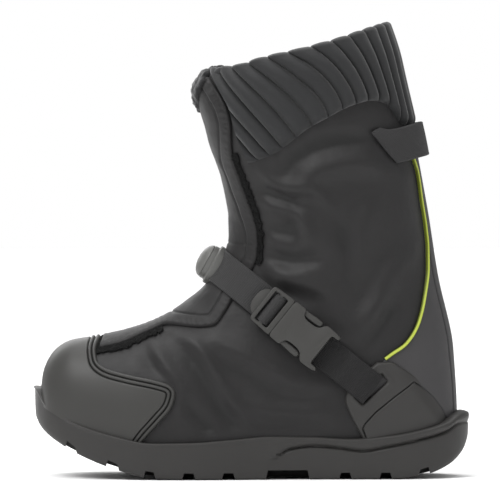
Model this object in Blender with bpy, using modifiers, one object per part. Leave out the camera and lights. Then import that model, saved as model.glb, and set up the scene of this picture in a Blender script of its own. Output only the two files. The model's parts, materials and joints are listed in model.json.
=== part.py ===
"""Winter overshoe for the left foot: toe at -X, heel at +X, outer side at -Y, standing on Z = 0.

One last shape, worked out from a short table of sections, gives the upper, its overlays, the insole and the cup of
the sole. Tables and named sizes are in millimetres, and the meshes are in metres.
"""

import math

import bmesh
import bpy
import numpy as np
from mathutils import Matrix, Vector
from mathutils.bvhtree import BVHTree

MM = 0.001
FIT = 0.3
FAR = 90.0
TOE_LIMIT = -200.0
HEEL_LIMIT = 190.0

# The last: one row for each section plane, from the toe to above the collar. Seen from the side, a plane runs from
# its top point on the instep or shin to its foot point under the sole or at the back of the leg.
SECTION_COLUMNS = ("top_x", "top_z", "foot_x", "foot_z", "middle_y", "half_width", "widest", "top_power",
                   "foot_power")
SECTIONS = (
    (-157.6, 69.0, -157.8, 59.0, 7.0, 6.0, 0.50, 2.2, 2.2),
    (-156.4, 77.5, -157.2, 46.0, 6.5, 18.5, 0.52, 2.3, 2.3),
    (-152.8, 87.0, -154.0, 34.0, 5.8, 29.0, 0.56, 2.4, 2.6),
    (-146.4, 95.3, -147.5, 23.0, 5.0, 36.5, 0.60, 2.5, 3.2),
    (-136.5, 100.8, -137.0, 14.0, 4.2, 42.5, 0.64, 2.6, 4.0),
    (-121.0, 103.6, -120.0, 7.0, 3.0, 47.5, 0.67, 2.5, 4.6),
    (-102.0, 107.0, -98.0, 2.0, 1.5, 51.0, 0.70, 2.4, 5.0),
    (-80.0, 113.6, -70.0, -1.0, -0.5, 53.0, 0.70, 2.3, 5.0),
    (-60.5, 122.8, -38.0, -1.0, -2.3, 52.5, 0.68, 2.2, 4.6),
    (-44.0, 134.0, -4.0, -1.0, -3.0, 50.0, 0.66, 2.1, 3.8),
    (-31.0, 146.5, 32.0, -1.0, -3.0, 48.5, 0.62, 2.1, 3.2),
    (-21.5, 159.5, 72.0, 0.0, -2.4, 47.5, 0.58, 2.1, 3.2),
    (-16.5, 172.0, 112.0, 5.0, -1.6, 47.0, 0.55, 2.1, 3.0),
    (-14.2, 184.0, 143.0, 19.0, -0.8, 47.5, 0.54, 2.1, 2.7),
    (-14.4, 197.0, 153.6, 50.0, -0.3, 48.5, 0.54, 2.1, 2.4),
    (-17.8, 216.0, 150.5, 98.0, 0.0, 50.0, 0.52, 2.1, 2.3),
    (-24.6, 240.0, 139.0, 152.0, 0.0, 52.0, 0.51, 2.1, 2.2),
    (-32.6, 264.0, 130.6, 206.0, 0.0, 53.5, 0.50, 2.1, 2.2),
    (-37.2, 285.0, 121.0, 257.0, 0.0, 54.0, 0.50, 2.1, 2.2),
    (-33.4, 303.0, 110.0, 305.0, 0.0, 53.0, 0.50, 2.1, 2.2),
    (-26.0, 322.0, 99.0, 356.0, 0.0, 51.0, 0.50, 2.1, 2.2),
)
SECTION_COUNT = 26
AROUND = 26

# The sole: one row for each station, from toe to heel, with the outline's two sides and the heights of the tread,
# of the rim and of the bed inside the cup.
SOLE_COLUMNS = ("x", "outer_y", "inner_y", "tread_z", "rim_z", "bed_z")
SOLE = (
    (-166.0, 8.0, 8.0, 47.0, 68.5, 46.0),
    (-164.0, -6.0, 22.0, 43.0, 67.0, 45.0),
    (-158.5, -20.0, 34.5, 36.0, 58.0, 42.0),
    (-148.0, -33.5, 45.5, 28.0, 50.0, 36.5),
    (-131.0, -45.5, 54.0, 18.5, 41.2, 29.0),
    (-106.0, -54.5, 58.5, 8.6, 33.3, 22.5),
    (-75.0, -60.0, 59.0, 1.0, 27.6, 18.0),
    (-45.0, -61.0, 56.0, 0.0, 28.0, 17.5),
    (-15.0, -58.0, 51.0, 0.0, 30.2, 18.5),
    (15.0, -54.0, 47.0, 0.0, 32.6, 19.8),
    (45.0, -51.0, 45.5, 0.0, 32.2, 20.6),
    (75.0, -50.5, 46.5, 0.0, 30.8, 21.0),
    (105.0, -50.0, 47.5, 0.0, 33.2, 21.4),
    (130.0, -45.5, 44.5, 2.8, 37.6, 22.0),
    (148.0, -36.5, 36.0, 9.6, 42.6, 24.0),
    (160.0, -23.0, 23.0, 20.0, 49.0, 27.0),
    (164.8, -10.5, 11.0, 29.0, 50.0, 29.0),
    (166.0, 0.0, 0.0, 32.0, 50.0, 30.0),
)
SOLE_STEPS = 2

# The sole's side wall, from the tread's edge to the rim: share of the height, and depth inside the outline.
WALL = ((0.0, 4.0), (0.10, 1.6), (0.52, 1.2), (0.66, 3.4), (0.76, 3.2), (0.81, 0.4), (0.93, 0.0), (1.0, 1.6))

# Grooves between the lugs, across the tread, with the first and last X of each.
LUG_GROOVES = ((-141.0, -132.0), (-110.0, -100.0), (-81.5, -72.5), (-52.5, -42.5), (-22.5, -12.5), (10.8, 43.5),
               (66.0, 75.5), (96.5, 106.0), (126.0, 135.0))
LUG_DEPTH = 5.0
ARCH_DEPTH = 7.0
LUG_DRAFT = 1.4
CHANNEL_WIDTH = 11.0
CHANNEL_DEPTH = 4.0
CHANNELS = ((-128.0, 4.0), (50.0, 122.0))

WALL_THICKNESS = 2.4
INSOLE_THICKNESS = 4.0
INSOLE_GAP = 0.5
CAP_THICKNESS = 2.5
COUNTER_THICKNESS = 1.7
FLAP_THICKNESS = 2.7
WING_THICKNESS = 3.0
PIPING_DIAMETER = 2.6
WEBBING_WIDTH = 25.4
WEBBING_THICKNESS = 1.8

# Outlines seen from the side, as X and Z.
COLLAR_TOP = ((-40.0, 308.5), (-29.5, 310.5), (-12.0, 312.8), (6.0, 318.5), (38.6, 326.4), (66.5, 334.3),
              (85.9, 341.0), (101.7, 346.0), (120.0, 350.0))
COLLAR_SEAM = ((-20.0, 232.0), (-1.3, 238.5), (8.4, 242.1), (19.3, 247.0), (32.6, 257.0), (42.3, 264.6),
               (56.8, 272.6), (66.5, 278.0), (78.6, 283.0), (90.8, 285.6), (99.2, 284.2), (105.3, 278.5),
               (111.4, 269.0), (125.0, 262.0))
COLLAR_FRONT = ((-31.5, 330.0), (-29.5, 311.0), (-20.5, 292.0), (-14.4, 280.0), (-11.2, 267.5), (-5.6, 251.0),
                (0.4, 238.5), (5.0, 225.0))
CAP_EDGE = ((-113.0, 125.0), (-113.8, 107.2), (-117.6, 95.8), (-116.4, 88.5), (-110.8, 83.4), (-96.8, 79.3),
            (-70.2, 73.9), (-61.5, 71.0), (-57.4, 65.4), (-59.6, 55.7), (-70.2, 42.4), (-81.7, 29.1),
            (-90.0, 15.0))
FLAP_EDGE = ((-111.0, 125.0), (-112.4, 106.8), (-115.6, 97.4), (-99.4, 100.8), (-77.3, 110.2), (-62.9, 115.5),
             (-40.1, 114.0), (-28.7, 115.5), (-19.6, 126.2), (-10.0, 143.0), (0.0, 157.0), (4.8, 168.5),
             (5.4, 182.4), (3.6, 194.0), (-0.4, 206.3), (-8.0, 227.2), (-14.4, 249.3), (-15.0, 267.5),
             (-17.6, 279.0), (-24.0, 291.5), (-31.5, 303.0))
PIPING_LINE = ((117.0, 252.0), (120.8, 240.9), (123.6, 231.2), (127.0, 208.2), (129.8, 190.0), (131.4, 173.3),
               (131.6, 157.5), (129.8, 140.6), (125.3, 118.8), (116.2, 102.6), (104.5, 94.0))
COUNTER_TURN = (104.0, 132.0)
COUNTER_FOOT = ((97.0, 85.5), (75.0, 66.0), (73.5, 60.0), (77.0, 50.0), (87.0, 32.0), (94.0, 20.0))
WING_OUTLINE = ((94.4, 88.5), (104.1, 88.9), (113.5, 84.0), (122.2, 77.5), (129.0, 71.2), (134.4, 64.2),
                (139.5, 57.6), (144.1, 50.9), (148.9, 40.0), (152.0, 22.0), (88.0, 20.0), (83.5, 31.0),
                (73.8, 49.7), (70.4, 60.6), (72.0, 67.6), (83.0, 78.6))
WING_SLOT = ((97.6, 79.6), (102.2, 74.0), (83.2, 57.2), (78.2, 62.6))
WING_PANEL = ((117.5, 70.5), (127.0, 59.6), (135.4, 47.4), (136.0, 43.4), (131.0, 41.6), (89.0, 37.4),
              (86.2, 39.6), (88.2, 44.4), (102.2, 58.6))
WING_GROOVE_RADIUS = 1.5
WING_GROOVE_LIFT = 0.1
TAB_LINE = ((90.5, 257.5), (104.0, 251.0), (118.0, 254.0), (140.0, 259.5))
TAB_WIDTH = 26.0
TAB_THICKNESS = 2.2
TAB_REACH_LOW = math.radians(40)
TAB_REACH_HIGH = math.radians(57)
TAB_RISE = 8.6
TAB_SEAT = 0.5

# The cuff's quilting, by the angle from the front of the leg at the top edge. Each seam runs down and backwards.
QUILT_PITCH = math.radians(13.4)
QUILT_FIRST = -3
QUILT_LAST = 14
QUILT_STEPS = 2
QUILT_UPRIGHT = math.radians(165)
QUILT_LEAN = 0.34
QUILT_SEAT = 1.1
QUILT_BASE = 0.9
QUILT_SEAM = 1.8
QUILT_CREST = 4.8
QUILT_BACK = [(level / 4, 0.0) for level in range(5)]
QUILT_LEVELS = ((1.0, 0.25), (0.90, 0.9), (0.50, 1.0), (0.10, 0.95), (0.0, 0.45))

# The strap runs in a plane that tilts down towards the heel from the guide on the instep.
STRAP_START = (-25.0, 160.5)
STRAP_FALL = math.radians(38.7)
STRAP_INSIDE = 70.0
STRAP_SWEEP = math.radians(150)
STRAP_STEP = 8.0
# How far the webbing lies off the last, at stations along its fall: over the flap, over the wing and into its slot.
STRAP_STATIONS = (0.0, 30.0, 50.0, 105.0, 116.0, 126.0, 146.0, 150.0)
STRAP_OFFSETS = (4.1, 4.1, 3.0, 3.0, 3.6, 6.6, 6.6, 5.0)
PLUG_FROM = 41.5
SOCKET_TO = 105.5
SLOT_AT = 149.0

# The buckle's upper half outlines, about its middle, with the first and last X of each slot for the webbing.
BUCKLE_THICKNESS = 7.5
BUCKLE_CENTRE = 73.0
BUCKLE_LIFT = 5.4
PLUG_HALF = ((-32.0, 13.5), (-30.0, 15.5), (-13.0, 16.5), (-6.0, 15.5), (4.0, 12.9), (12.0, 14.9), (15.5, 13.3),
             (14.0, 9.1), (-4.0, 8.3), (-8.0, 7.0))
LADDER_SLOTS = ((-28.8, -24.2), (-21.4, -16.8))
SOCKET_HALF = ((-6.8, 6.2), (-3.5, 7.7), (14.0, 8.3), (16.4, 10.9), (18.5, 14.5), (21.0, 16.5), (26.0, 15.1),
               (30.8, 13.9), (32.0, 12.1))
SOCKET_SLOT = (25.4, 29.4)

GUIDE_LENGTH = 31.0
GUIDE_WIDTH = 36.0
# The guide's base and dome: height, and share of its length and width.
GUIDE_LEVELS = ((0.0, 1.0), (3.0, 1.0), (3.6, 0.86), (7.0, 0.84), (10.5, 0.74), (13.0, 0.5), (14.0, 0.2))
GUIDE_SIDES = 24
GUIDE_SQUARENESS = 0.75


def collection(name):
    """A collection in the scene."""
    group = bpy.data.collections.new(name)
    bpy.context.scene.collection.children.link(group)
    return group


def material(name, colour, roughness, metallic=0.0):
    """A Principled material."""
    made = bpy.data.materials.new(name)
    made.use_nodes = True
    shader = made.node_tree.nodes["Principled BSDF"]
    shader.inputs["Base Color"].default_value = (*colour, 1.0)
    shader.inputs["Roughness"].default_value = roughness
    shader.inputs["Metallic"].default_value = metallic
    return made


def add_mesh(name, group, points, faces, finish=None):
    """A mesh object from points in millimetres and faces, with its normals made consistent."""
    mesh = bpy.data.meshes.new(name)
    shape = bmesh.new()
    corners = [shape.verts.new(Vector(point) * MM) for point in points]
    for face in faces:
        shape.faces.new([corners[index] for index in face])
    bmesh.ops.recalc_face_normals(shape, faces=shape.faces)
    shape.to_mesh(mesh)
    shape.free()
    made = bpy.data.objects.new(name, mesh)
    group.objects.link(made)
    if finish:
        mesh.materials.append(finish)
        mesh.shade_smooth()
        mesh.set_sharp_from_angle(angle=math.radians(35))
    else:
        made.hide_render = True
        made.display_type = "WIRE"
    return made


def combine(target, cutter, operation):
    """Cut, join or trim an object with another one."""
    step = target.modifiers.new(operation.title(), "BOOLEAN")
    step.operation = operation
    step.object = cutter
    step.solver = "EXACT"


def smooth(known, values, wanted):
    """Read a smooth curve through known places and values, without overshoot, at the wanted places."""
    known = np.asarray(known, dtype=float)
    values = np.asarray(values, dtype=float).reshape(len(known), -1)
    wanted = np.atleast_1d(np.asarray(wanted, dtype=float))
    width = np.diff(known)[:, None]
    rise = np.diff(values, axis=0) / width
    slope = np.zeros_like(values)
    same = rise[:-1] * rise[1:] > 0
    before = np.where(same, rise[:-1], 1.0)
    after = np.where(same, rise[1:], 1.0)
    near = 2 * width[1:] + width[:-1]
    far = width[1:] + 2 * width[:-1]
    slope[1:-1] = np.where(same, (near + far) / (near / before + far / after), 0.0)
    slope[0] = rise[0]
    slope[-1] = rise[-1]
    cell = np.clip(np.searchsorted(known, wanted) - 1, 0, len(known) - 2)
    share = ((wanted - known[cell]) / width[cell, 0])[:, None]
    share = np.clip(share, 0.0, 1.0)
    start, end = values[cell], values[cell + 1]
    rising = share * share * (3 - 2 * share)
    leaving = share * (1 - share) ** 2 * slope[cell] * width[cell]
    arriving = share * share * (share - 1) * slope[cell + 1] * width[cell]
    return start + (end - start) * rising + leaving + arriving


def height_on(line, x):
    """Height of a side view line at X."""
    return float(smooth([p[0] for p in line], [p[1] for p in line], x)[0, 0])


def rounded(line, steps=2):
    """A smoother side view line through the same points."""
    spans = [math.dist(a, b) for a, b in zip(line, line[1:])]
    places = np.concatenate(([0.0], np.cumsum(spans)))
    wanted = [places[i] + (places[i + 1] - places[i]) * k / steps for i in range(len(spans)) for k in range(steps)]
    return [tuple(point) for point in smooth(places, line, wanted + [places[-1]])]


def last_points(places, angles):
    """Points of the last for section places and angles, where angle 0 is the top and pi the foot point."""
    columns = smooth(range(len(SECTIONS)), SECTIONS, places)[:, :, None]
    row = dict(zip(SECTION_COLUMNS, columns.transpose(1, 0, 2)))
    cosine, sine = np.cos(angles)[None, :], np.sin(angles)[None, :]
    power = 2.0 / np.where(cosine >= 0, row["top_power"], row["foot_power"])
    reach = np.abs(cosine) ** power
    along = np.where(cosine >= 0, row["widest"] * (1 - reach), row["widest"] + (1 - row["widest"]) * reach)
    x = row["top_x"] + (row["foot_x"] - row["top_x"]) * along
    z = row["top_z"] + (row["foot_z"] - row["top_z"]) * along
    y = row["middle_y"] + row["half_width"] * np.sign(sine) * np.abs(sine) ** power
    return np.stack([x, y + 0 * x, z], axis=-1)


def last_grid(offset):
    """Grid of the last's points, moved outwards by an offset."""
    places = np.linspace(0, len(SECTIONS) - 1, SECTION_COUNT)
    angles = np.arange(AROUND) * 2 * math.pi / AROUND
    points = last_points(places, angles)
    along = np.gradient(points, axis=0)
    across = np.roll(points, -1, axis=1) - np.roll(points, 1, axis=1)
    normal = np.cross(along, across)
    normal /= np.linalg.norm(normal, axis=2, keepdims=True)
    return points + normal * offset


def grid_faces(rows, columns, closed=True):
    """Quads of a grid, closed around or open at its last column."""
    last = columns if closed else columns - 1
    faces = []
    for row in range(rows - 1):
        for column in range(last):
            after = (column + 1) % columns
            base = row * columns
            faces.append((base + column, base + after, base + columns + after, base + columns + column))
    return faces


def last_form(name, group, offset, finish=None, shut=False):
    """The last as a surface that is closed at the toe, and at the top too if it is to be shut."""
    points = last_grid(offset)
    rows, columns = points.shape[:2]
    faces = [half for a, b, c, d in grid_faces(rows, columns) for half in ((a, b, c), (a, c, d))]
    faces.append(tuple(range(columns)))
    if shut:
        faces.append(tuple(range((rows - 1) * columns, rows * columns)))
    return add_mesh(name, group, points.reshape(-1, 3), faces, finish)


def shell(name, group, finish, start, thickness, side=1.0):
    """A wall that lies over the last, from a start above it and with a thickness outwards, or inwards at side -1."""
    made = last_form(name, group, start, finish)
    wall = made.modifiers.new("Wall", "SOLIDIFY")
    wall.thickness = thickness * MM
    wall.offset = side
    return made


def side_prism(name, group, outline, low=-FAR, high=FAR):
    """A side view outline, extended across from a low to a high Y."""
    count = len(outline)
    points = [(x, y, z) for y in (low, high) for x, z in outline]
    faces = [tuple(range(count)), tuple(range(count, 2 * count))]
    faces += [(i, (i + 1) % count, count + (i + 1) % count, count + i) for i in range(count)]
    return add_mesh(name, group, points, faces)


def back_prism(name, group, outline):
    """An outline seen from the back, as Y and Z, extended along the heel half of the shoe."""
    count = len(outline)
    points = [(x, y, z) for x in (20.0, 200.0) for y, z in outline]
    faces = [tuple(range(count)), tuple(range(count, 2 * count))]
    faces += [(i, (i + 1) % count, count + (i + 1) % count, count + i) for i in range(count)]
    return add_mesh(name, group, points, faces)


def sole_line(column, rise=0.0, inset=0.0):
    """Side view line of one of the sole's heights."""
    x = [row[0] for row in SOLE]
    z = [row[SOLE_COLUMNS.index(column)] + rise for row in SOLE]
    wanted = np.linspace(x[0] + inset, x[-1] - inset, 4 * len(SOLE))
    return [(float(a), float(b)) for a, b in zip(wanted, smooth(x, z, wanted)[:, 0])]


def above_sole(column, rise, top):
    """Side view outline of what lies above one of the sole's lines, up to a top line."""
    base = sole_line(column, rise)
    left, right = (base[0][0] - 20, base[0][1] + 6), (base[-1][0] + 20, base[-1][1])
    return [left] + base + [right] + list(reversed(top))


def build_upper(parts, cutters, finish):
    """The shell of the foot and leg: one wall, open at the collar and over the sole."""
    upper = shell("upper", parts, finish, 0.0, WALL_THICKNESS, -1.0)
    top = [(x, z - 1.6) for x, z in [(TOE_LIMIT, 300.0)] + list(rounded(COLLAR_TOP)) + [(HEEL_LIMIT, 350.0)]]
    combine(upper, side_prism("upper_limits", cutters, above_sole("bed_z", FIT, top)), "INTERSECT")
    return upper


def build_insole(parts, cutters, finish):
    """The footbed: what fits inside the upper's wall, over the bed of the sole."""
    insole = last_form("insole", parts, -WALL_THICKNESS - INSOLE_GAP, finish, shut=True)
    base = sole_line("bed_z", FIT)
    top = [(x, z + INSOLE_THICKNESS) for x, z in base]
    combine(insole, side_prism("insole_limits", cutters, base + list(reversed(top))), "INTERSECT")
    return insole


def sole_outline():
    """Points around the sole's outline, down its outer side from the toe and back along its inner side."""
    places = np.linspace(0, len(SOLE) - 1, (len(SOLE) - 1) * SOLE_STEPS + 1)
    stations = smooth(range(len(SOLE)), [row[:3] for row in SOLE], places)
    outer = [(x, y) for x, y, _ in stations]
    inner = [(x, y) for x, _, y in stations[1:-1]]
    return np.array(outer + inner[::-1]), len(stations)


def build_sole(parts, cutters, finish):
    """The cup sole: a wall with a rim and a groove, lugs below, and a cavity that takes the upper."""
    outline, stations = sole_outline()
    count = len(outline)
    tangent = np.roll(outline, -1, axis=0) - np.roll(outline, 1, axis=0)
    tangent /= np.linalg.norm(tangent, axis=1, keepdims=True)
    inward = np.stack([-tangent[:, 1], tangent[:, 0]], axis=1)
    station_x = [row[0] for row in SOLE]
    points = []
    for share, inset in WALL:
        flat = outline + inward * inset
        heights = smooth(station_x, [row[3:5] for row in SOLE], flat[:, 0])
        level = heights[:, 0] + (heights[:, 1] - heights[:, 0]) * share
        points += [(x, y, z) for (x, y), z in zip(flat, level)]
    faces = grid_faces(len(WALL), count)
    for base in (0, (len(WALL) - 1) * count):
        pairs = [(base + i, base + (count - i) % count) for i in range(stations)]
        for (a, b), (c, d) in zip(pairs, pairs[1:]):
            faces.append(tuple(dict.fromkeys((a, c, d, b))))
    sole = add_mesh("outsole", parts, points, faces, finish)

    cavity = last_form("cup_cavity", cutters, FIT, shut=True)
    limit = above_sole("bed_z", 0.0, [(TOE_LIMIT, 130.0), (HEEL_LIMIT, 130.0)])
    combine(cavity, side_prism("cup_limits", cutters, limit), "INTERSECT")
    combine(sole, cavity, "DIFFERENCE")

    for number, (first, final) in enumerate(LUG_GROOVES, start=1):
        depth = ARCH_DEPTH if final - first > 20 else LUG_DEPTH
        low, high = (float(z) for z in smooth(station_x, [row[3] for row in SOLE], [first, final])[:, 0])
        groove = ((first - LUG_DRAFT, low - LUG_DEPTH), (first + LUG_DRAFT, low + depth),
                  (final - LUG_DRAFT, high + depth), (final + LUG_DRAFT, high - LUG_DEPTH))
        combine(sole, side_prism(f"lug_groove_{number}", cutters, groove), "DIFFERENCE")
    for number, (first, final) in enumerate(CHANNELS, start=1):
        x = np.linspace(first, final, 8)
        z = smooth(station_x, [row[3] for row in SOLE], x)[:, 0]
        channel = [(a, b - LUG_DEPTH) for a, b in zip(x, z)] + [(a, b + CHANNEL_DEPTH) for a, b in zip(x, z)][::-1]
        cutter = side_prism(f"tread_channel_{number}", cutters, channel, -CHANNEL_WIDTH / 2, CHANNEL_WIDTH / 2)
        combine(sole, cutter, "DIFFERENCE")
    return sole


def build_toe_cap(parts, cutters, finish):
    """The moulded cap over the toe, down to the sole's rim."""
    cap = shell("toe_cap", parts, finish, FIT, CAP_THICKNESS)
    edge = rounded(CAP_EDGE)
    outline = [(TOE_LIMIT, 125.0)] + edge + [(TOE_LIMIT, 15.0)]
    combine(cap, side_prism("cap_outline", cutters, outline), "INTERSECT")
    rim = above_sole("rim_z", 2 * FIT, [(TOE_LIMIT, 200.0), (HEEL_LIMIT, 200.0)])
    combine(cap, side_prism("cap_rim", cutters, rim), "INTERSECT")
    return cap


def build_counter(parts, cutters, finish, tree):
    """The rubbery back panel, from the pull tab down to the sole's rim, and on under the strap wings."""
    cord = np.array(piping_route(tree, -1))
    way = np.gradient(cord[:, [0, 2]], axis=0)
    way /= np.linalg.norm(way, axis=1, keepdims=True)
    room = PIPING_DIAMETER / 2 + 2 * FIT
    beside = cord[:, [0, 2]] + np.stack([-way[:, 1], way[:, 0]], axis=1) * room
    low = [tuple(point) for point in beside if point[1] < COUNTER_TURN[1]]
    front = [(100.0, 262.0), (100.0, COUNTER_TURN[1])] + low + rounded(COUNTER_FOOT)
    half = [(abs(y) - room, z) for _, y, z in cord if z > COUNTER_TURN[0]]
    half = [(half[0][0] - 1.0, 270.0)] + half + [(FAR, COUNTER_TURN[0] - 1.0), (FAR, 10.0)]
    counter = shell("heel_counter", parts, finish, FIT, COUNTER_THICKNESS)
    seam = [(x, z - 1.2) for x, z in rounded(COLLAR_SEAM) if x > 113.0]
    outline = seam + [(HEEL_LIMIT, 255.0), (HEEL_LIMIT, 15.0)] + front[::-1]
    combine(counter, side_prism("counter_outline", cutters, outline), "INTERSECT")
    combine(counter, back_prism("counter_back", cutters, half + [(-y, z) for y, z in reversed(half)]), "INTERSECT")
    rim = above_sole("rim_z", 2 * FIT, [(TOE_LIMIT, 300.0), (HEEL_LIMIT, 300.0)])
    combine(counter, side_prism("counter_rim", cutters, rim), "INTERSECT")
    return counter


def build_flap(parts, cutters, finish):
    """The flap that closes the front opening, from the toe cap to the collar."""
    flap = shell("front_flap", parts, finish, FIT, FLAP_THICKNESS)
    outline = rounded(FLAP_EDGE) + [(-60.0, 305.0), (TOE_LIMIT, 305.0), (TOE_LIMIT, 125.0)]
    combine(flap, side_prism("flap_outline", cutters, outline), "INTERSECT")
    return flap


def groove_tube(name, group, route, radius, sides=6):
    """A closed tube along a route that returns to its start, as a cutter for a groove."""
    points = []
    for before, here, after in zip(route[-1:] + route[:-1], route, route[1:] + route[:1]):
        way = (after - before).normalized()
        level = way.cross(Vector((0.0, 1.0, 0.0))).normalized()
        up = level.cross(way)
        for step in range(sides):
            turn = 2 * math.pi * step / sides
            points.append(here + (level * math.cos(turn) + up * math.sin(turn)) * radius)
    faces = grid_faces(len(route), sides)
    last = (len(route) - 1) * sides
    faces += [(last + i, last + (i + 1) % sides, (i + 1) % sides, i) for i in range(sides)]
    return add_mesh(name, group, points, faces)


def build_wing(parts, cutters, finish, tree, side, low, high):
    """A moulded saddle at the heel, with the strap's slot and a groove around its panel."""
    start = FIT + COUNTER_THICKNESS + FIT
    wing = shell(f"strap_wing_{side}", parts, finish, start, WING_THICKNESS)
    combine(wing, side_prism(f"wing_outline_{side}", cutters, WING_OUTLINE, low, high), "INTERSECT")
    rim = above_sole("rim_z", 2 * FIT, [(TOE_LIMIT, 200.0), (HEEL_LIMIT, 200.0)])
    combine(wing, side_prism(f"wing_rim_{side}", cutters, rim), "INTERSECT")
    combine(wing, side_prism(f"wing_slot_{side}", cutters, WING_SLOT, low, high), "DIFFERENCE")
    route = []
    for x, z in rounded(WING_PANEL + WING_PANEL[:1], 2)[:-1]:
        point, normal = side_surface(tree, x, z, 1 if high > 0 else -1)
        route.append(point + normal * (start + WING_THICKNESS + WING_GROOVE_LIFT))
    combine(wing, groove_tube(f"wing_groove_{side}", cutters, route, WING_GROOVE_RADIUS), "DIFFERENCE")
    return wing


def place_at(angle, line):
    """Section place where the last, at an angle around it, meets a side view line."""
    low, high = len(SECTIONS) - 7.0, len(SECTIONS) - 1.0
    for _ in range(30):
        middle = (low + high) / 2
        x, _, z = last_points(np.array([middle]), np.array([angle]))[0, 0]
        if z < height_on(line, x):
            low = middle
        else:
            high = middle
    return low


def leg_point(place, angle, offset):
    """A point over the leg's surface."""
    step = 0.02
    here, up, around = (last_points(np.array([place + a]), np.array([angle + b]))[0, 0]
                        for a, b in ((0, 0), (step, 0), (0, step)))
    normal = np.cross(up - here, around - here)
    return here + normal / np.linalg.norm(normal) * offset


def build_collar(parts, cutters, finish):
    """The quilted cuff: half of it with its slanted channels, trimmed at the front and mirrored."""
    rings = []
    for step in range(QUILT_FIRST * QUILT_STEPS, QUILT_LAST * QUILT_STEPS + 1):
        top = step / QUILT_STEPS * QUILT_PITCH
        foot = top + QUILT_LEAN * max(QUILT_UPRIGHT - top, 0.0)
        crest = QUILT_SEAM + (QUILT_CREST - QUILT_SEAM) * (1.0 if step % QUILT_STEPS else 0.0)
        top_place, foot_place = place_at(-top, COLLAR_TOP), place_at(-foot, COLLAR_SEAM)
        ring = []
        for level, height in QUILT_BACK + [(level, QUILT_BASE + crest * fullness) for level, fullness in QUILT_LEVELS]:
            place = foot_place + (top_place - foot_place) * level
            angle = foot + (top - foot) * level
            ring.append(leg_point(place, -angle, QUILT_SEAT + height))
        rings.append(ring)
    columns = len(rings[0])
    faces = grid_faces(len(rings), columns)
    faces += [tuple(range(columns)), tuple(range((len(rings) - 1) * columns, len(rings) * columns))]
    collar = add_mesh("collar", parts, [point for ring in rings for point in ring], faces, finish)
    front = rounded(COLLAR_FRONT) + [(HEEL_LIMIT, 225.0), (HEEL_LIMIT, 370.0), (-31.5, 370.0)]
    combine(collar, side_prism("collar_front", cutters, front, -FAR, 4.0), "INTERSECT")
    mirror = collar.modifiers.new("Both sides", "MIRROR")
    mirror.use_axis = (False, True, False)
    mirror.use_bisect_axis = (False, True, False)
    mirror.use_bisect_flip_axis = (False, True, False)
    mirror.merge_threshold = 0.00001
    return collar


def build_pull_tab(parts, finish):
    """The loop at the back of the leg: a band sewn down at its ends that stands off between them."""
    count = 16
    rows = []
    for step in range(count + 1):
        turn = -1 + 2 * step / count
        rise = TAB_SEAT + TAB_RISE * max(math.cos(turn * math.pi / 2), 0.0) ** 0.7
        row = []
        for side, reach in ((-0.5, TAB_REACH_LOW), (0.5, TAB_REACH_HIGH)):
            angle = math.pi + turn * reach
            middle = place_at(angle, TAB_LINE)
            here = leg_point(middle, angle, 0.0)
            slope = leg_point(middle + 0.1, angle, 0.0) - here
            slope *= side * TAB_WIDTH / np.linalg.norm(slope)
            away = leg_point(middle, angle, 1.0) - here
            row += [here + slope + away * rise, here + slope + away * (rise + TAB_THICKNESS)]
        rows.append([row[0], row[2], row[3], row[1]])
    faces = grid_faces(len(rows), 4)
    faces += [(0, 1, 2, 3), tuple(4 * count + i for i in range(4))]
    return add_mesh("pull_tab", parts, [point for row in rows for point in row], faces, finish)


def side_surface(tree, x, z, side):
    """Point and outward normal where a side view point meets the last, on one side."""
    start = Vector((x, side * 3 * FAR, z)) * MM
    hit, normal, _, _ = tree.ray_cast(start, Vector((0.0, -side, 0.0)))
    return hit / MM, normal if normal.y * side > 0 else -normal


def piping_route(tree, side):
    """Points of the bright cord's middle along the front edge of the back panel, on one side."""
    route = []
    for x, z in rounded(PIPING_LINE, 2):
        point, normal = side_surface(tree, x, z, side)
        route.append(point + normal * (PIPING_DIAMETER / 2 + 2 * FIT))
    return route


def build_piping(parts, finish, tree, side, name):
    """The bright cord along the front edge of the back panel."""
    curve = bpy.data.curves.new(name, "CURVE")
    curve.dimensions = "3D"
    curve.bevel_depth = PIPING_DIAMETER / 2 * MM
    curve.bevel_resolution = 1
    curve.use_fill_caps = True
    route = piping_route(tree, side)
    spline = curve.splines.new("POLY")
    spline.points.add(len(route) - 1)
    for place, point in zip(spline.points, route):
        place.co = (*(point * MM), 1.0)
    curve.materials.append(finish)
    piping = bpy.data.objects.new(name, curve)
    parts.objects.link(piping)
    return piping


def strap_axes():
    """Directions of the strap's plane: along its fall, and across its width."""
    along = Vector((math.cos(STRAP_FALL), 0.0, -math.sin(STRAP_FALL)))
    across = Vector((math.sin(STRAP_FALL), 0.0, math.cos(STRAP_FALL)))
    return along, across


def strap_route(tree, shift):
    """Points around the last in the strap's plane, moved across by a shift, from the inner to the outer side."""
    along, across = strap_axes()
    inside = Vector((STRAP_START[0], 0.0, STRAP_START[1])) + along * STRAP_INSIDE + across * shift
    route = []
    for turn in np.linspace(-STRAP_SWEEP, STRAP_SWEEP, 241):
        away = -along * math.cos(turn) + Vector((0.0, -math.sin(turn), 0.0))
        hit, _, _, _ = tree.ray_cast((inside + away * 3 * FAR) * MM, -away)
        route.append(hit / MM)
    return route


def strap_offset(fall, side):
    """How far the webbing lies off the last: beside the shoe by its fall, and over the instep the same all over."""
    return float(smooth(STRAP_STATIONS, STRAP_OFFSETS, max(fall, 0.0))[0, 0]) if side else STRAP_OFFSETS[0]


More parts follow.
